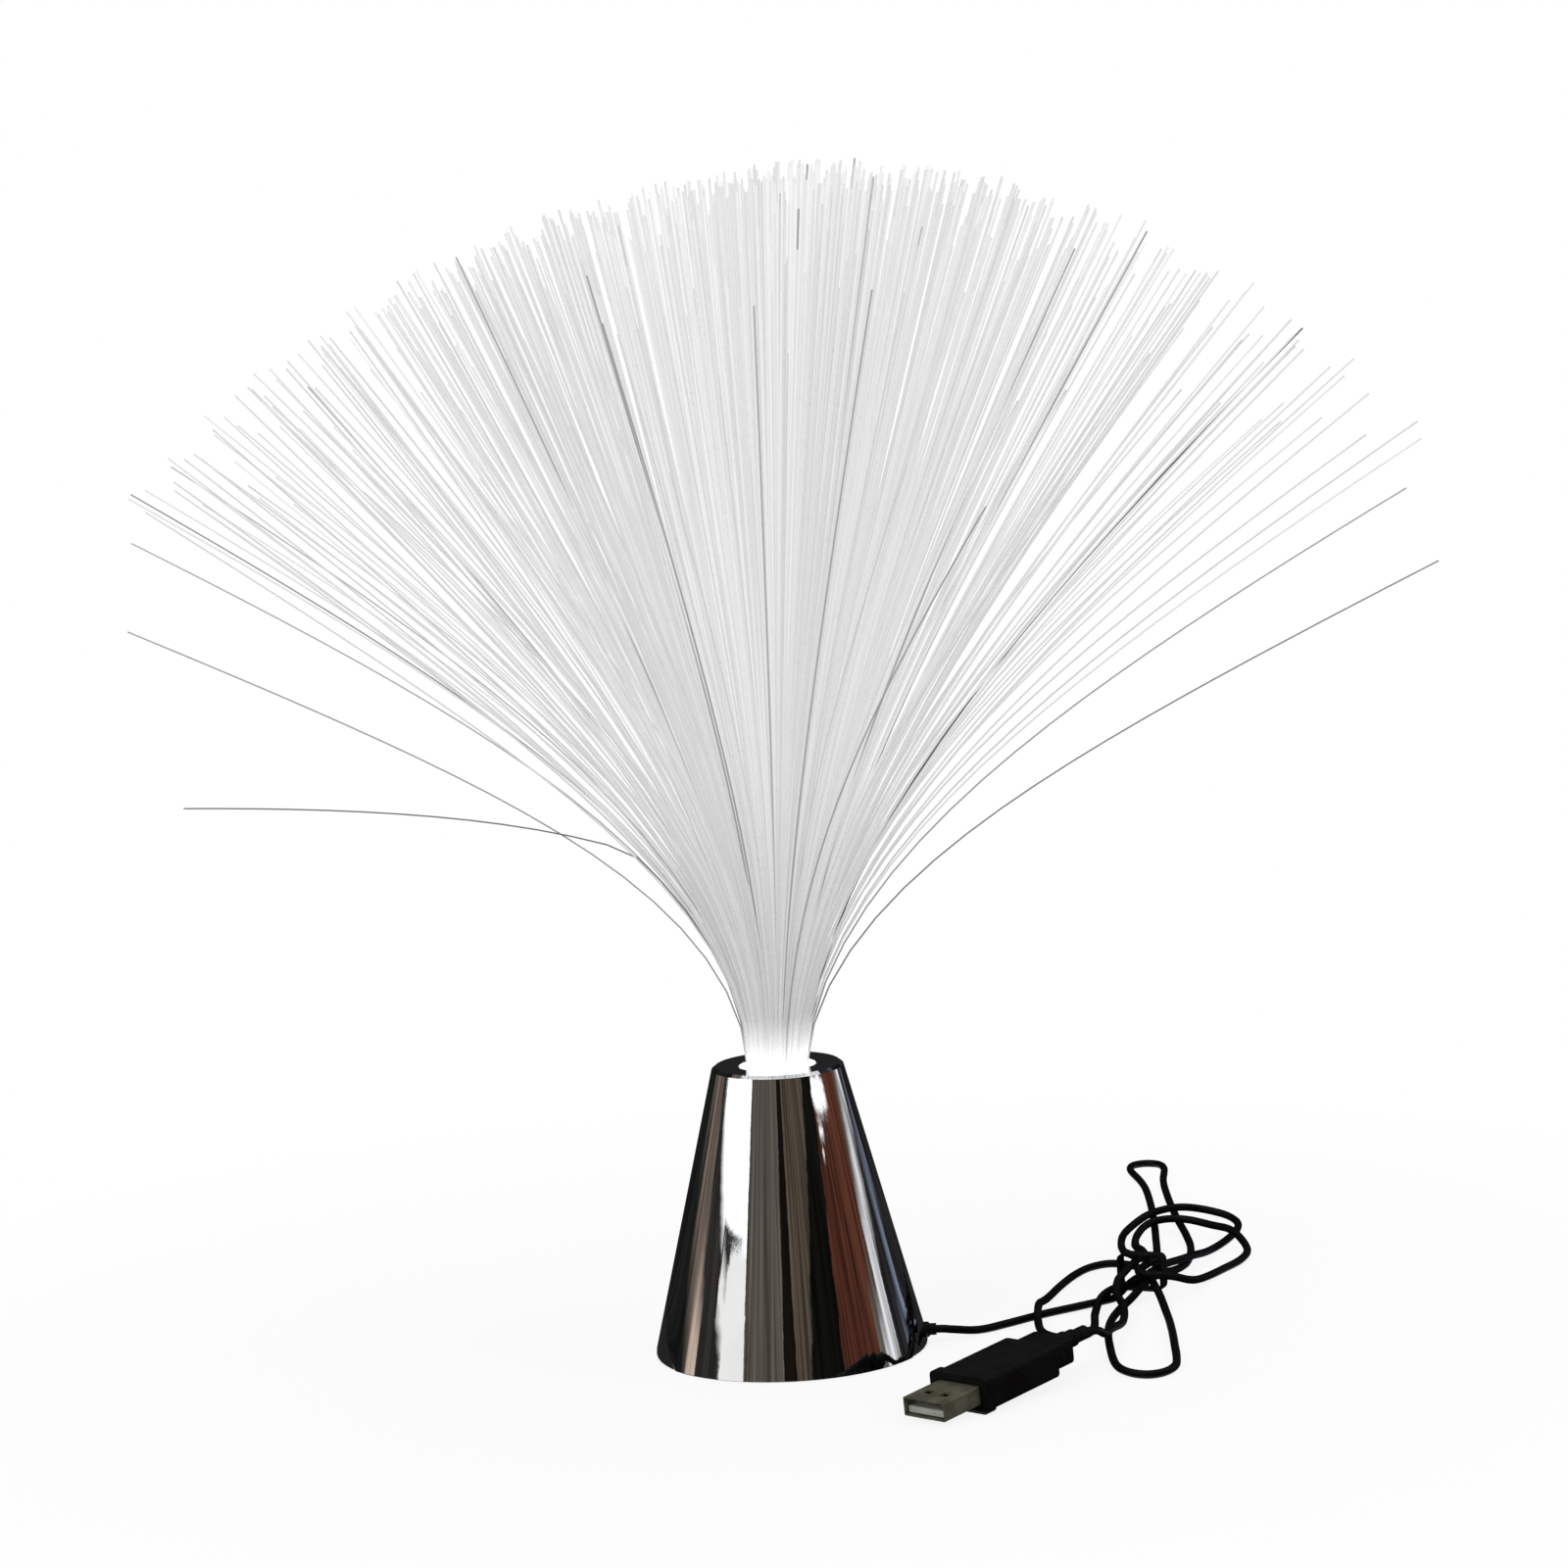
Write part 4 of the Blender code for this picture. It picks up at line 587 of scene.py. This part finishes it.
def plug_frame():
    """The plug's place: it rests on its moulding's front edge, with its back a little raised."""
    height = PLUG_FRONT_HALF * math.cos(PLUG_TILT) - SHELL_REACH * math.sin(PLUG_TILT)
    place = Matrix.Translation((*PLUG_NOSE, height))
    return place @ Matrix.Rotation(PLUG_HEADING, 4, "Z") @ Matrix.Rotation(-PLUG_TILT, 4, "Y")


def cord_path():
    """The whole cord's centreline, from inside the base's outlet to the plug's relief."""
    column = LOOPS[0][0]
    arrival = [tie_point(column, -TIE_RUN - CORD_DIAMETER), tie_point(column, -TIE_RUN)]
    route = [(CORD_START, 0), (CORD_START + CORD_DIAMETER, 0), *LEAD_ROUTE, *arrival]
    lead = smooth_curve([(*point, CORD_RADIUS) for point in route], LAY_STEP)
    for point in lead:
        point.z += (CORD_HEIGHT - CORD_RADIUS) * easing((point.x - CORD_START) / HUMP_LENGTH)
    loops = lay(loops_route(), lead)
    column = LOOPS[-1][0]
    departure = [tie_point(column, -TIE_RUN), tie_point(column, -TIE_RUN - CORD_DIAMETER)]
    place = plug_frame()
    behind = place @ Vector((PLUG_LENGTH + 2 * CORD_DIAMETER, 0, 0))
    relief = place @ Vector((PLUG_LENGTH, 0, 0))
    tail = lay([*departure, *TAIL_ROUTE, behind.xy, relief.xy], loops)
    for index, point in enumerate(tail):
        from_end = (len(tail) - 1 - index) * LAY_STEP
        at_start = (loops[-1].z - CORD_RADIUS) * easing(index * LAY_STEP / HUMP_LENGTH)
        at_end = (relief.z - CORD_RADIUS) * easing(from_end / HUMP_LENGTH / 2)
        point.z = max(point.z, CORD_RADIUS + at_start, CORD_RADIUS + at_end)
    path = lead + loops[1:] + tail[1:]
    heights = [point.z for point in path]
    for index in range(EVENING_REACH, len(path) - EVENING_REACH):
        near = heights[index - EVENING_REACH:index + EVENING_REACH + 1]
        path[index].z = sum(near) / len(near)
    return path


def build_cord():
    path = cord_path()
    path[0].x -= CORD_START_HIDDEN
    curve = bpy.data.curves.new("cord", "CURVE")
    curve.dimensions = "3D"
    curve.bevel_depth = CORD_RADIUS
    curve.bevel_resolution = CORD_ROUNDNESS
    curve.use_fill_caps = True
    spline = curve.splines.new("POLY")
    spline.points.add(len(path) - 1)
    for point, place in zip(spline.points, path):
        point.co = (*place, 1)
    spline.use_smooth = True
    cord = bpy.data.objects.new("cord", curve)
    bpy.context.scene.collection.objects.link(cord)
    dark, light = (0.0015, 0.0015, 0.0016), (0.0035, 0.0035, 0.0037)
    cord.data.materials.append(
        surface("cord jacket", dark, light, (0.42, 0.58), 0.0004, 0.12, gloss=0.14)
    )
    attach(cord, "lamp")
    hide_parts("cord_lead", "cord_loops", "cord_tail")
    tuple(path[0])
    sum((b - a).length for a, b in zip(path, path[1:]))


def fibre_path(x, y, azimuth, final, bend, length, crease=0.0):
    """The centreline of one fibre that grows from this place in the bundle's head.

    A creased fibre turns outward once more, by this angle, part of the way along.
    """
    outward = Vector((math.cos(azimuth), math.sin(azimuth), 0))
    step = length / FIBRE_PATH_STEPS
    out, up = 0.0, 0.0
    points = [Vector((x, y, BUNDLE_HEAD))]
    for index in range(FIBRE_PATH_STEPS):
        along = (index + 1) * step
        angle = final * (1 - math.exp(-along / bend))
        angle += crease * (1 - easing(max(0, along - CREASE_START) / CREASE_LENGTH))
        out += step * math.sin(angle)
        up += step * math.cos(angle)
        points.append(Vector((x + FIBRE_LEAN_SHARE * up, y, BUNDLE_HEAD + up)) + outward * out)
    return points


def in_bundle(x, y):
    """Whether all of the strand's three corners lie within the bundle."""
    rise = STRAND_PITCH * math.sqrt(3) / 2
    corners = ((-STRAND_PITCH / 2, -rise / 3), (STRAND_PITCH / 2, -rise / 3), (0, 2 * rise / 3))
    return all(math.hypot(x + i, y + j) <= BUNDLE_RADIUS for i, j in corners)


def fan_paths(chance):
    """The fan's fibres, up to four for each of the model's strands, with radius and tone."""
    row = FIBRE_PITCH * math.sqrt(3) / 2
    reach = math.ceil(BUNDLE_RADIUS / row) + 2
    for j in range(-reach, reach + 1):
        for i in range(-2 * reach, 2 * reach + 1):
            x, y = (i + 1 + j / 2) * FIBRE_PITCH, j * row
            if not in_bundle(x, y):
                continue
            share = math.hypot(x, y) / BUNDLE_RADIUS
            azimuth = math.atan2(y, x)
            final = FIBRE_FAN_ANGLE * share + FIBRE_STRAY_ANGLE * share**FIBRE_STRAY_POWER
            limit = final + LEAN_PAST_MODEL
            length = FIBRE_LENGTH - FIBRE_LENGTH_SPREAD * chance.random()
            bend = FIBRE_BEND_LENGTH
            tone = FIBRE_TONE + FIBRE_TONE_SPREAD * chance.uniform(-1, 1)
            # Outer fibres painted darker towards the fan's edge: painted shade
            tone -= OUTER_FIBRE_PAINTED_SHADE * share**4
            if i % 2 or j % 2:
                sway = noise.noise_vector(Vector((x, y, SWAY_LAYER)) * SWAY_SCALE)
                final += FIBRE_FAN_ANGLE * (share**FIBRE_FAN_POWER - share)
                final += SWAY_LEAN * sway.x + LEAN_CHANCE * chance.uniform(-1, 1)
                sparse = share > SPARSE_SHARE and sway.y > SPARSE_SWAY
                thin_side = share * math.cos(azimuth) > THIN_SIDE_SHARE
                if sparse or thin_side and chance.random() < THIN_SIDE_CHANCE:
                    continue
                final = min(final, limit)
                azimuth += SWAY_TURN * sway.y / max(share, SWAY_TURN_SHARE)
                early = max(0, -math.cos(azimuth)) * share
                bend *= (1 + SWAY_BEND * sway.z) * (1 - EARLY_BEND * early)
                length += ADDED_LENGTH - EARLY_LENGTH * early
                tone += SWAY_TONE * sway.z
            if chance.random() < DARK_FIBRE_CHANCE:
                tone = chance.uniform(*DARK_FIBRE_TONES)
            radius = FIBRE_RADIUS - FIBRE_RADIUS_SPREAD * share * share
            yield fibre_path(x, y, azimuth, final, bend, length), radius, tone


# Single fibres that stand away from the fan: azimuth and final angle in degrees, bend length,
# length, tone, and the angle of a crease in degrees
STRAYS = (
    (180, 65.4, 0.040, 0.1918, 0.45, 0),
    (176, 62.4, 0.050, 0.2052, 0.55, 0),
    (184, 58.4, 0.052, 0.2117, 0.40, 0),
    (173, 57.0, 0.055, 0.2105, 0.60, 0),
    (181, 64.6, 0.053, 0.1693, 0.25, 25.1),
    (-2, 65.2, 0.040, 0.1931, 0.35, 0),
    (4, 62.4, 0.050, 0.1993, 0.50, 0),
    (-4, 46.6, 0.060, 0.2088, 0.12, 0),
)


def stray_paths():
    """The single fibres beside the fan, with the radius and tone of each."""
    for degrees, final, bend, length, tone, crease in STRAYS:
        azimuth = math.radians(degrees)
        radius = FIBRE_RADIUS - FIBRE_RADIUS_SPREAD
        place = unit(azimuth) * (BUNDLE_RADIUS - radius / 2)
        angles = math.radians(final), math.radians(crease)
        yield fibre_path(*place, azimuth, angles[0], bend, length, angles[1]), radius, tone


def add_tube(points, faces, tones, alongs, path, radius, tone):
    """Adds a many-sided tube round the path, tapering a little to a closed tip."""
    keep = [path[round(index * (len(path) - 1) / FIBRE_RINGS)] for index in range(FIBRE_RINGS + 1)]
    base = len(points)
    for index, centre in enumerate(keep):
        tangent = (keep[min(index + 1, FIBRE_RINGS)] - keep[max(index - 1, 0)]).normalized()
        across = tangent.cross(Vector(FIBRE_SIDEWAYS)).normalized()
        upright = tangent.cross(across)
        along = index / FIBRE_RINGS
        size = radius * (1 - FIBRE_TAPER * along)
        for side in range(FIBRE_SIDES):
            angle = math.tau * side / FIBRE_SIDES
            points.append(centre + (across * math.cos(angle) + upright * math.sin(angle)) * size)
            tones.append(tone)
            alongs.append(along)
    for ring in range(FIBRE_RINGS):
        for side in range(FIBRE_SIDES):
            a = base + ring * FIBRE_SIDES + side
            b = base + ring * FIBRE_SIDES + (side + 1) % FIBRE_SIDES
            faces.append((a, b, b + FIBRE_SIDES, a + FIBRE_SIDES))
    faces.append(tuple(range(base + FIBRE_SIDES - 1, base - 1, -1)))
    faces.append(tuple(base + FIBRE_RINGS * FIBRE_SIDES + side for side in range(FIBRE_SIDES)))


def build_fibres():
    """The fan and the single fibres, dealt out over a few pieces that stand in for the spray."""
    noise.seed_set(SEED)
    paths = [*fan_paths(random.Random(SEED)), *stray_paths()]
    finish = fibre_finish()
    for number in range(FIBRE_PIECES):
        points, faces, tones, alongs = [], [], [], []
        for path, radius, tone in paths[number::FIBRE_PIECES]:
            add_tube(points, faces, tones, alongs, path, radius, tone)
        piece = named_mesh(f"fibres_{number + 1}", points, faces)
        smooth(piece)
        for name, values in (("tone", tones), ("along", alongs)):
            layer = piece.data.attributes.new(name, "FLOAT", "POINT")
            layer.data.foreach_set("value", values)
        piece.data.materials.append(finish)
        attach(piece, "lamp")
        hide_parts("fibre_spray")


# Plain finishes of the model's own solids: name, dark and light colour, roughness, size of the
# grain, bump, other settings, and the nodes that wear it
FINISHES = (
    (
        "bright steel", (0.46, 0.46, 0.47), (0.62, 0.62, 0.63), (0.24, 0.38), 0.0003, 0.08,
        {"metallic": 1.0, "patch": 0.002},
        (
            "cover_screw_1", "cover_screw_2", "cover_screw_3", "board_screw_1", "board_screw_2",
            "capacitor", "led_lead_1", "led_lead_2", "bundle_ferrule", "switch_housing",
            "switch_terminal_1", "switch_terminal_2", "switch_terminal_3",
        ),
    ),
    (
        "nickel sheet", (0.10, 0.095, 0.06), (0.20, 0.19, 0.14), (0.34, 0.46), 0.0003, 0.06,
        {"metallic": 0.5, "patch": 0.005},
        ("plug_shell",),
    ),
    (
        "moulded black", (0.002, 0.002, 0.0021), (0.0045, 0.0045, 0.0048), (0.50, 0.66), 0.00035,
        0.30, {"gloss": 0.16},
        ("plug_body", "cord_grommet", "cord_tie"),
    ),
    (
        "satin black", (0.012, 0.012, 0.012), (0.024, 0.024, 0.024), (0.40, 0.55), 0.0003, 0.12,
        {},
        (
            "bottom_cover", "controller_chip", "resistor_1", "resistor_2", "led_spacer",
            "switch_knob",
        ),
    ),
    (
        "pad foam", (0.012, 0.012, 0.012), (0.028, 0.028, 0.027), (0.82, 0.95), 0.0005, 0.6,
        {}, ("anti_slip_pad",),
    ),
    (
        "white plastic", (0.78, 0.78, 0.77), (0.88, 0.88, 0.87), (0.26, 0.38), 0.0004, 0.05,
        {}, ("reflector_cup",),
    ),
    (
        "tongue plastic", (0.30, 0.30, 0.28), (0.40, 0.40, 0.37), (0.40, 0.55), 0.0004, 0.08,
        {}, ("plug_tongue",),
    ),
    (
        "board mask", (0.015, 0.13, 0.05), (0.03, 0.20, 0.09), (0.32, 0.46), 0.0005, 0.1,
        {}, ("circuit_board",),
    ),
    (
        "contact gold", (0.70, 0.50, 0.18), (0.86, 0.66, 0.30), (0.22, 0.34), 0.0003, 0.05,
        {"metallic": 1.0, "patch": 0.002},
        ("plug_contact_1", "plug_contact_2", "plug_contact_3", "plug_contact_4"),
    ),
    (
        "red insulation", (0.42, 0.012, 0.012), (0.60, 0.03, 0.025), (0.32, 0.44), 0.0003, 0.06,
        {}, ("wire_red",),
    ),
    (
        "black insulation", (0.010, 0.010, 0.010), (0.020, 0.020, 0.020), (0.32, 0.44), 0.0003,
        0.06, {}, ("wire_black",),
    ),
)


def dress_cad():
    """Gives each of the model's own solids its finish."""
    for name, dark, light, roughness, grain, bump, more, nodes in FINISHES:
        paint(surface(name, dark, light, roughness, grain, bump, **more), *nodes)
    paint(chrome_finish(), "base_shell")
    paint(lit_finish("glowing collar", COLLAR_LIGHT), "light_collar")
    paint(lit_finish("glowing light source", SOURCE_LIGHT), "led")


def build_camera():
    """The camera that the photograph was fitted with."""
    data = bpy.data.cameras.new("camera")
    data.sensor_width = SENSOR_MM
    data.lens = FOCAL_PIXELS / IMAGE_PIXELS * SENSOR_MM
    data.clip_start, data.clip_end = CLIP_RANGE
    camera = bpy.data.objects.new("camera", data)
    bpy.context.scene.collection.objects.link(camera)
    cos, sin = math.cos, math.sin
    level = cos(CAMERA_PITCH)
    forward = Vector((sin(CAMERA_YAW) * level, cos(CAMERA_YAW) * level, -sin(CAMERA_PITCH)))
    right = Vector((cos(CAMERA_YAW), -sin(CAMERA_YAW), 0))
    up = right.cross(forward)
    rolled_right = right * cos(CAMERA_ROLL) - up * sin(CAMERA_ROLL)
    rolled_up = right * sin(CAMERA_ROLL) + up * cos(CAMERA_ROLL)
    turn = Matrix((rolled_right, rolled_up, -forward)).transposed().to_4x4()
    place = Vector((0, -cos(CAMERA_ELEVATION), sin(CAMERA_ELEVATION))) * CAMERA_DISTANCE
    camera.matrix_world = Matrix.Translation(place) @ turn
    bpy.context.scene.camera = camera


# What the chrome mirrors, from the cone's left edge to its right: the far edge of each card as a
# share of the cone's half width at its foot and at its rim, how ragged that edge is, and the
# card's brightness in red, green and blue
INK = (0.010, 0.011, 0.010)
TAN = (0.16, 0.125, 0.10)
SHADE = (0.026, 0.025, 0.022)
SOFTBOX = (1.25, 1.25, 1.25)
LOW_SOFTBOX = (0.94, 0.93, 0.90)
TAUPE = (0.095, 0.084, 0.068)
UMBER = (0.007, 0.005, 0.004)
MOCHA = (0.072, 0.055, 0.040)
PITCH = (0.005, 0.005, 0.004)
RUST = (0.078, 0.026, 0.016)
SILVER = (0.70, 0.70, 0.71)
SLATE = (0.13, 0.15, 0.20)
CHARCOAL = (0.019, 0.018, 0.019)
CARDS = (
    (-0.78, -0.92, 0.002, INK), (-0.71, -0.80, 0.006, TAN), (-0.54, -0.745, 0.014, SHADE),
    (-0.36, -0.39, 0.006, SOFTBOX), (-0.07, -0.035, 0.004, TAUPE), (0.02, 0.02, 0.007, UMBER),
    (0.13, 0.34, 0.010, MOCHA), (0.36, 0.47, 0.014, PITCH), (0.64, 0.82, 0.008, RUST),
    (0.68, 0.85, 0.002, TAUPE), (0.76, 0.895, 0.002, SILVER), (0.85, 0.93, 0.001, CHARCOAL),
    (0.89, 0.95, 0, SLATE), (1.0, 1.0, 0, CHARCOAL),
)

# The ring of cards: it curves in over the floor to the cone's foot, and stands as a wall that is
# finely divided where the cone mirrors it
MIRROR_STEPS = 800
CARD_COLUMNS = 1500
CARD_NEAREST = 0.09
CARD_FLOOR_STEPS = 22
CARD_FLOOR_GAP = 0.0006
CARD_FLOOR_REACH = 0.97
CARD_FLOOR_POWER = 2.4
CARD_FLOOR_RISE = 0.004
CARD_FLOOR_RISE_POWER = 3
CARD_WALL_RADIUS = 1.0
CARD_WALL_FOOT = 0.20
CARD_WALL_TOP = 0.40
CARD_ROW_STEP = 0.003
CARD_LOW_ROWS = (0.03, 0.08, 0.12, 0.15, 0.17, 0.18)
CARD_HIGH_ROWS = (0.42, 0.5, 0.7, 1.0, 1.5)

# Noise on the cards: pitches along the cone's height and its width, strengths, and the layer of
# noise that each uses
RAGGED_PITCH = 0.0024
RAGGED_FINER = 5
RAGGED_LAYERS = ((7.3, 1.7), (3.1, 5.2))
STREAK_SHARE = 0.016
STREAK_DEPTH = 0.9
STREAK_WANDER = 1.5
STREAK_LAYER = 2.3
RUST_DEPTH = 0.5
RUST_FINER = 2
RUST_WANDER = 4
RUST_LAYER = 6.3
TAN_GLARE = 3
TAN_GLARE_TOP = 0.30

# The bright card: where its near edge draws in, by how much, and where its foot turns duller
WAIST_WIDTH = 0.17
WAIST_RISE = 0.40
WAIST_HALF = 0.13
DULL_BELOW = 0.38
DULL_RAGGED = 0.02

# White spots that the cone mirrors under its rim: share of the half width, height, and the half
# sizes of both
BLOTS = (
    (0.545, 0.0640, 0.095, 0.0052),
    (0.50, 0.0550, 0.030, 0.0017),
    (0.485, 0.0485, 0.012, 0.0009),
)
BLOT_RAGGED = 0.35
BLOT_SCALE = 30
BLOT_LAYER = 9.1


def mirrored(share, height):
    """The direction that the cone mirrors to the camera at this share of its half width."""
    around = math.asin(max(-1, min(1, share)))
    across, up = math.cos(CONE_LEAN), math.sin(CONE_LEAN)
    normal = Vector((math.sin(around) * across, -math.cos(around) * across, up))
    away = CAMERA_DISTANCE * math.cos(CAMERA_ELEVATION)
    above = CAMERA_DISTANCE * math.sin(CAMERA_ELEVATION)
    seen = Vector((0, away, height - above)).normalized().reflect(normal)
    return math.atan2(seen.x, -seen.y), seen.z / math.hypot(seen.x, seen.y)


def mirrored_table():
    """For even shares: azimuth from -Y towards +X, share, and the ray's slope at foot and rim."""
    rows = []
    for step in range(MIRROR_STEPS + 1):
        share = 2 * step / MIRROR_STEPS - 1
        (foot, low), (rim, high) = mirrored(share, 0), mirrored(share, BASE_HEIGHT)
        rows.append(((foot + rim) / 2, share, low, high))
    return sorted(rows)


def wobble(*place):
    """Smooth noise between -1 and 1 at this place."""
    return noise.noise(Vector(place))


def ragged_wave(height, number):
    """How far a card's edge strays at this height, in shares of its raggedness."""
    (first, first_layer), (second, second_layer) = RAGGED_LAYERS
    wave = wobble(height / RAGGED_PITCH, number * first, first_layer)
    return wave + wobble(height / RAGGED_PITCH / RAGGED_FINER, number * second, second_layer)


def card_colour(share, height):
    """What the cone mirrors at this share of its half width and this height."""
    rise = min(1, max(0, height / BASE_HEIGHT))
    for middle, level, half_width, half_height in BLOTS:
        away = math.hypot((share - middle) / half_width, (height - level) / half_height)
        stray = wobble(share * BLOT_SCALE, height / RAGGED_PITCH, BLOT_LAYER)
        if away + BLOT_RAGGED * stray < 1:
            return SOFTBOX
    along = share / STREAK_SHARE
    streak = 1 + STREAK_DEPTH * wobble(along, rise * STREAK_WANDER, STREAK_LAYER)
    for number, (foot, rim, ragged, colour) in enumerate(CARDS):
        edge = foot + (rim - foot) * rise
        wave = ragged_wave(height, number)
        if colour is SHADE:
            waist = WAIST_WIDTH * easing(abs(rise - WAIST_RISE) / WAIST_HALF)
            edge += waist
            ragged += waist / 2
        if share >= edge + ragged * wave:
            continue
        if colour is SOFTBOX:
            return colour if rise > DULL_BELOW + DULL_RAGGED * wave else LOW_SOFTBOX
        if colour is RUST:
            streak += RUST_DEPTH * wobble(along * RUST_FINER, rise * RUST_WANDER, RUST_LAYER)
        if colour is TAN:
            streak += TAN_GLARE * easing(rise / TAN_GLARE_TOP)
        return tuple(level * streak for level in colour)
    return CHARCOAL


def card_profile():
    """Radius and height of the cards' rows: over the floor, then up a wall round the lamp."""
    near = BASE_DIAMETER / 2 + CARD_FLOOR_GAP
    rows = []
    for step in range(CARD_FLOOR_STEPS):
        share = step / CARD_FLOOR_STEPS
        radius = near + CARD_FLOOR_REACH * share**CARD_FLOOR_POWER
        rows.append((radius, CARD_FLOOR_GAP + CARD_FLOOR_RISE * share**CARD_FLOOR_RISE_POWER))
    count = round((CARD_WALL_TOP - CARD_WALL_FOOT) / CARD_ROW_STEP)
    middle = [CARD_WALL_FOOT + step * CARD_ROW_STEP for step in range(count)]
    heights = (*CARD_LOW_ROWS, *middle, *CARD_HIGH_ROWS)
    return rows + [(CARD_WALL_RADIUS, height) for height in heights]


def build_cards():
    """A ring of cards round the lamp, seen only in reflections, that curves in over the floor."""
    table = mirrored_table()
    profile = card_profile()
    middle_radius = (BASE_DIAMETER + BASE_TOP_DIAMETER) / 4
    points, faces, colours = [], [], []
    at = 0
    for step in range(CARD_COLUMNS):
        azimuth = math.tau * step / CARD_COLUMNS - math.pi
        while at < len(table) - 2 and table[at + 1][0] < azimuth:
            at += 1
        (start, share, low, high), (end, beyond, _, _) = table[at], table[at + 1]
        in_view = start <= azimuth <= end
        share += (beyond - share) * (azimuth - start) / (end - start)
        for radius, height in profile:
            points.append((radius * math.sin(azimuth), -radius * math.cos(azimuth), height))
            away = radius - middle_radius
            level = (height - away * low) / (1 + away * (high - low) / BASE_HEIGHT)
            shown = in_view and radius > CARD_NEAREST
            colours.append(card_colour(share, level) if shown else CHARCOAL)
    rows = len(profile)
    for step in range(CARD_COLUMNS):
        for row in range(rows - 1):
            a, b = step * rows + row, (step + 1) % CARD_COLUMNS * rows + row
            faces.append((a, b, b + 1, a + 1))
    ring = named_mesh("reflection_cards", points, faces)
    layer = ring.data.attributes.new("tint", "FLOAT_COLOR", "POINT")
    layer.data.foreach_set("color", [value for colour in colours for value in (*colour, 1)])
    nodes = Nodes("reflection cards")
    tint = nodes.add("ShaderNodeAttribute", attribute_name="tint").outputs["Color"]
    light = nodes.add("ShaderNodeEmission")
    nodes.join(tint, light.inputs["Color"])
    nodes.join(light.outputs["Emission"], nodes.output.inputs["Surface"])
    ring.data.materials.append(nodes.material)
    ring.visible_camera = False
    ring.visible_diffuse = False
    ring.visible_shadow = False
    ring.visible_transmission = False
    ring.visible_volume_scatter = False


def build_floor():
    """A wide pale floor that takes the shadow and looks whiter away from the lamp."""
    size = FLOOR_HALF_SIZE
    corners = [(-size, -size, 0), (size, -size, 0), (size, size, 0), (-size, size, 0)]
    floor = named_mesh("floor", corners, [(0, 1, 2, 3)])
    floor.location.z = -FLOOR_DROP
    nodes = Nodes("floor")
    nodes.set("Base Color", FLOOR_TONE)
    nodes.set("Roughness", FLOOR_ROUGHNESS)
    nodes.set("Specular IOR Level", 0.0)
    white = nodes.add("ShaderNodeEmission").outputs["Emission"]
    away = nodes.vector_math("LENGTH", nodes.coordinates(), output="Value")
    lift = nodes.math("MULTIPLY", nodes.seen(), nodes.ramp(away, *FLOOR_LIFT, *FLOOR_LIFT_SPAN))
    surface_in = nodes.output.inputs["Surface"]
    nodes.mix_shaders(lift, nodes.shader.outputs["BSDF"], white, surface_in)
    floor.data.materials.append(nodes.material)


def build_world():
    """White where it is seen or mirrored, and a weaker soft light for the rest."""
    world = bpy.data.worlds.new("studio")
    bpy.context.scene.world = world
    world.use_nodes = True
    nodes = Tree(world.node_tree)
    plain = nodes.tree.nodes["Background"]
    shown = nodes.add("ShaderNodeBackground")
    for background in (plain, shown):
        background.inputs["Color"].default_value = (1, 1, 1, 1)
    plain.inputs["Strength"].default_value = WORLD_STRENGTH
    lights = [background.outputs["Background"] for background in (plain, shown)]
    nodes.mix_shaders(nodes.seen(), *lights, nodes.tree.nodes["World Output"].inputs["Surface"])


def add_lamp(name, place, size, power):
    """A soft square light that faces the lamp's middle."""
    data = bpy.data.lights.new(name, "AREA")
    data.shape = "SQUARE"
    data.size = size
    data.energy = power
    light = bpy.data.objects.new(name, data)
    light.location = place
    aim = Vector(LAMP_AIM) - Vector(place)
    light.rotation_euler = aim.to_track_quat("-Z", "Y").to_euler()
    bpy.context.scene.collection.objects.link(light)
    light.visible_camera = False
    light.visible_glossy = False


def main():
    build_camera()
    build_cord()
    build_fibres()
    dress_cad()
    build_cards()
    build_floor()
    build_world()
    for lamp in LAMPS:
        add_lamp(*lamp)
    scene = bpy.context.scene
    scene.view_settings.view_transform = "Standard"


main()
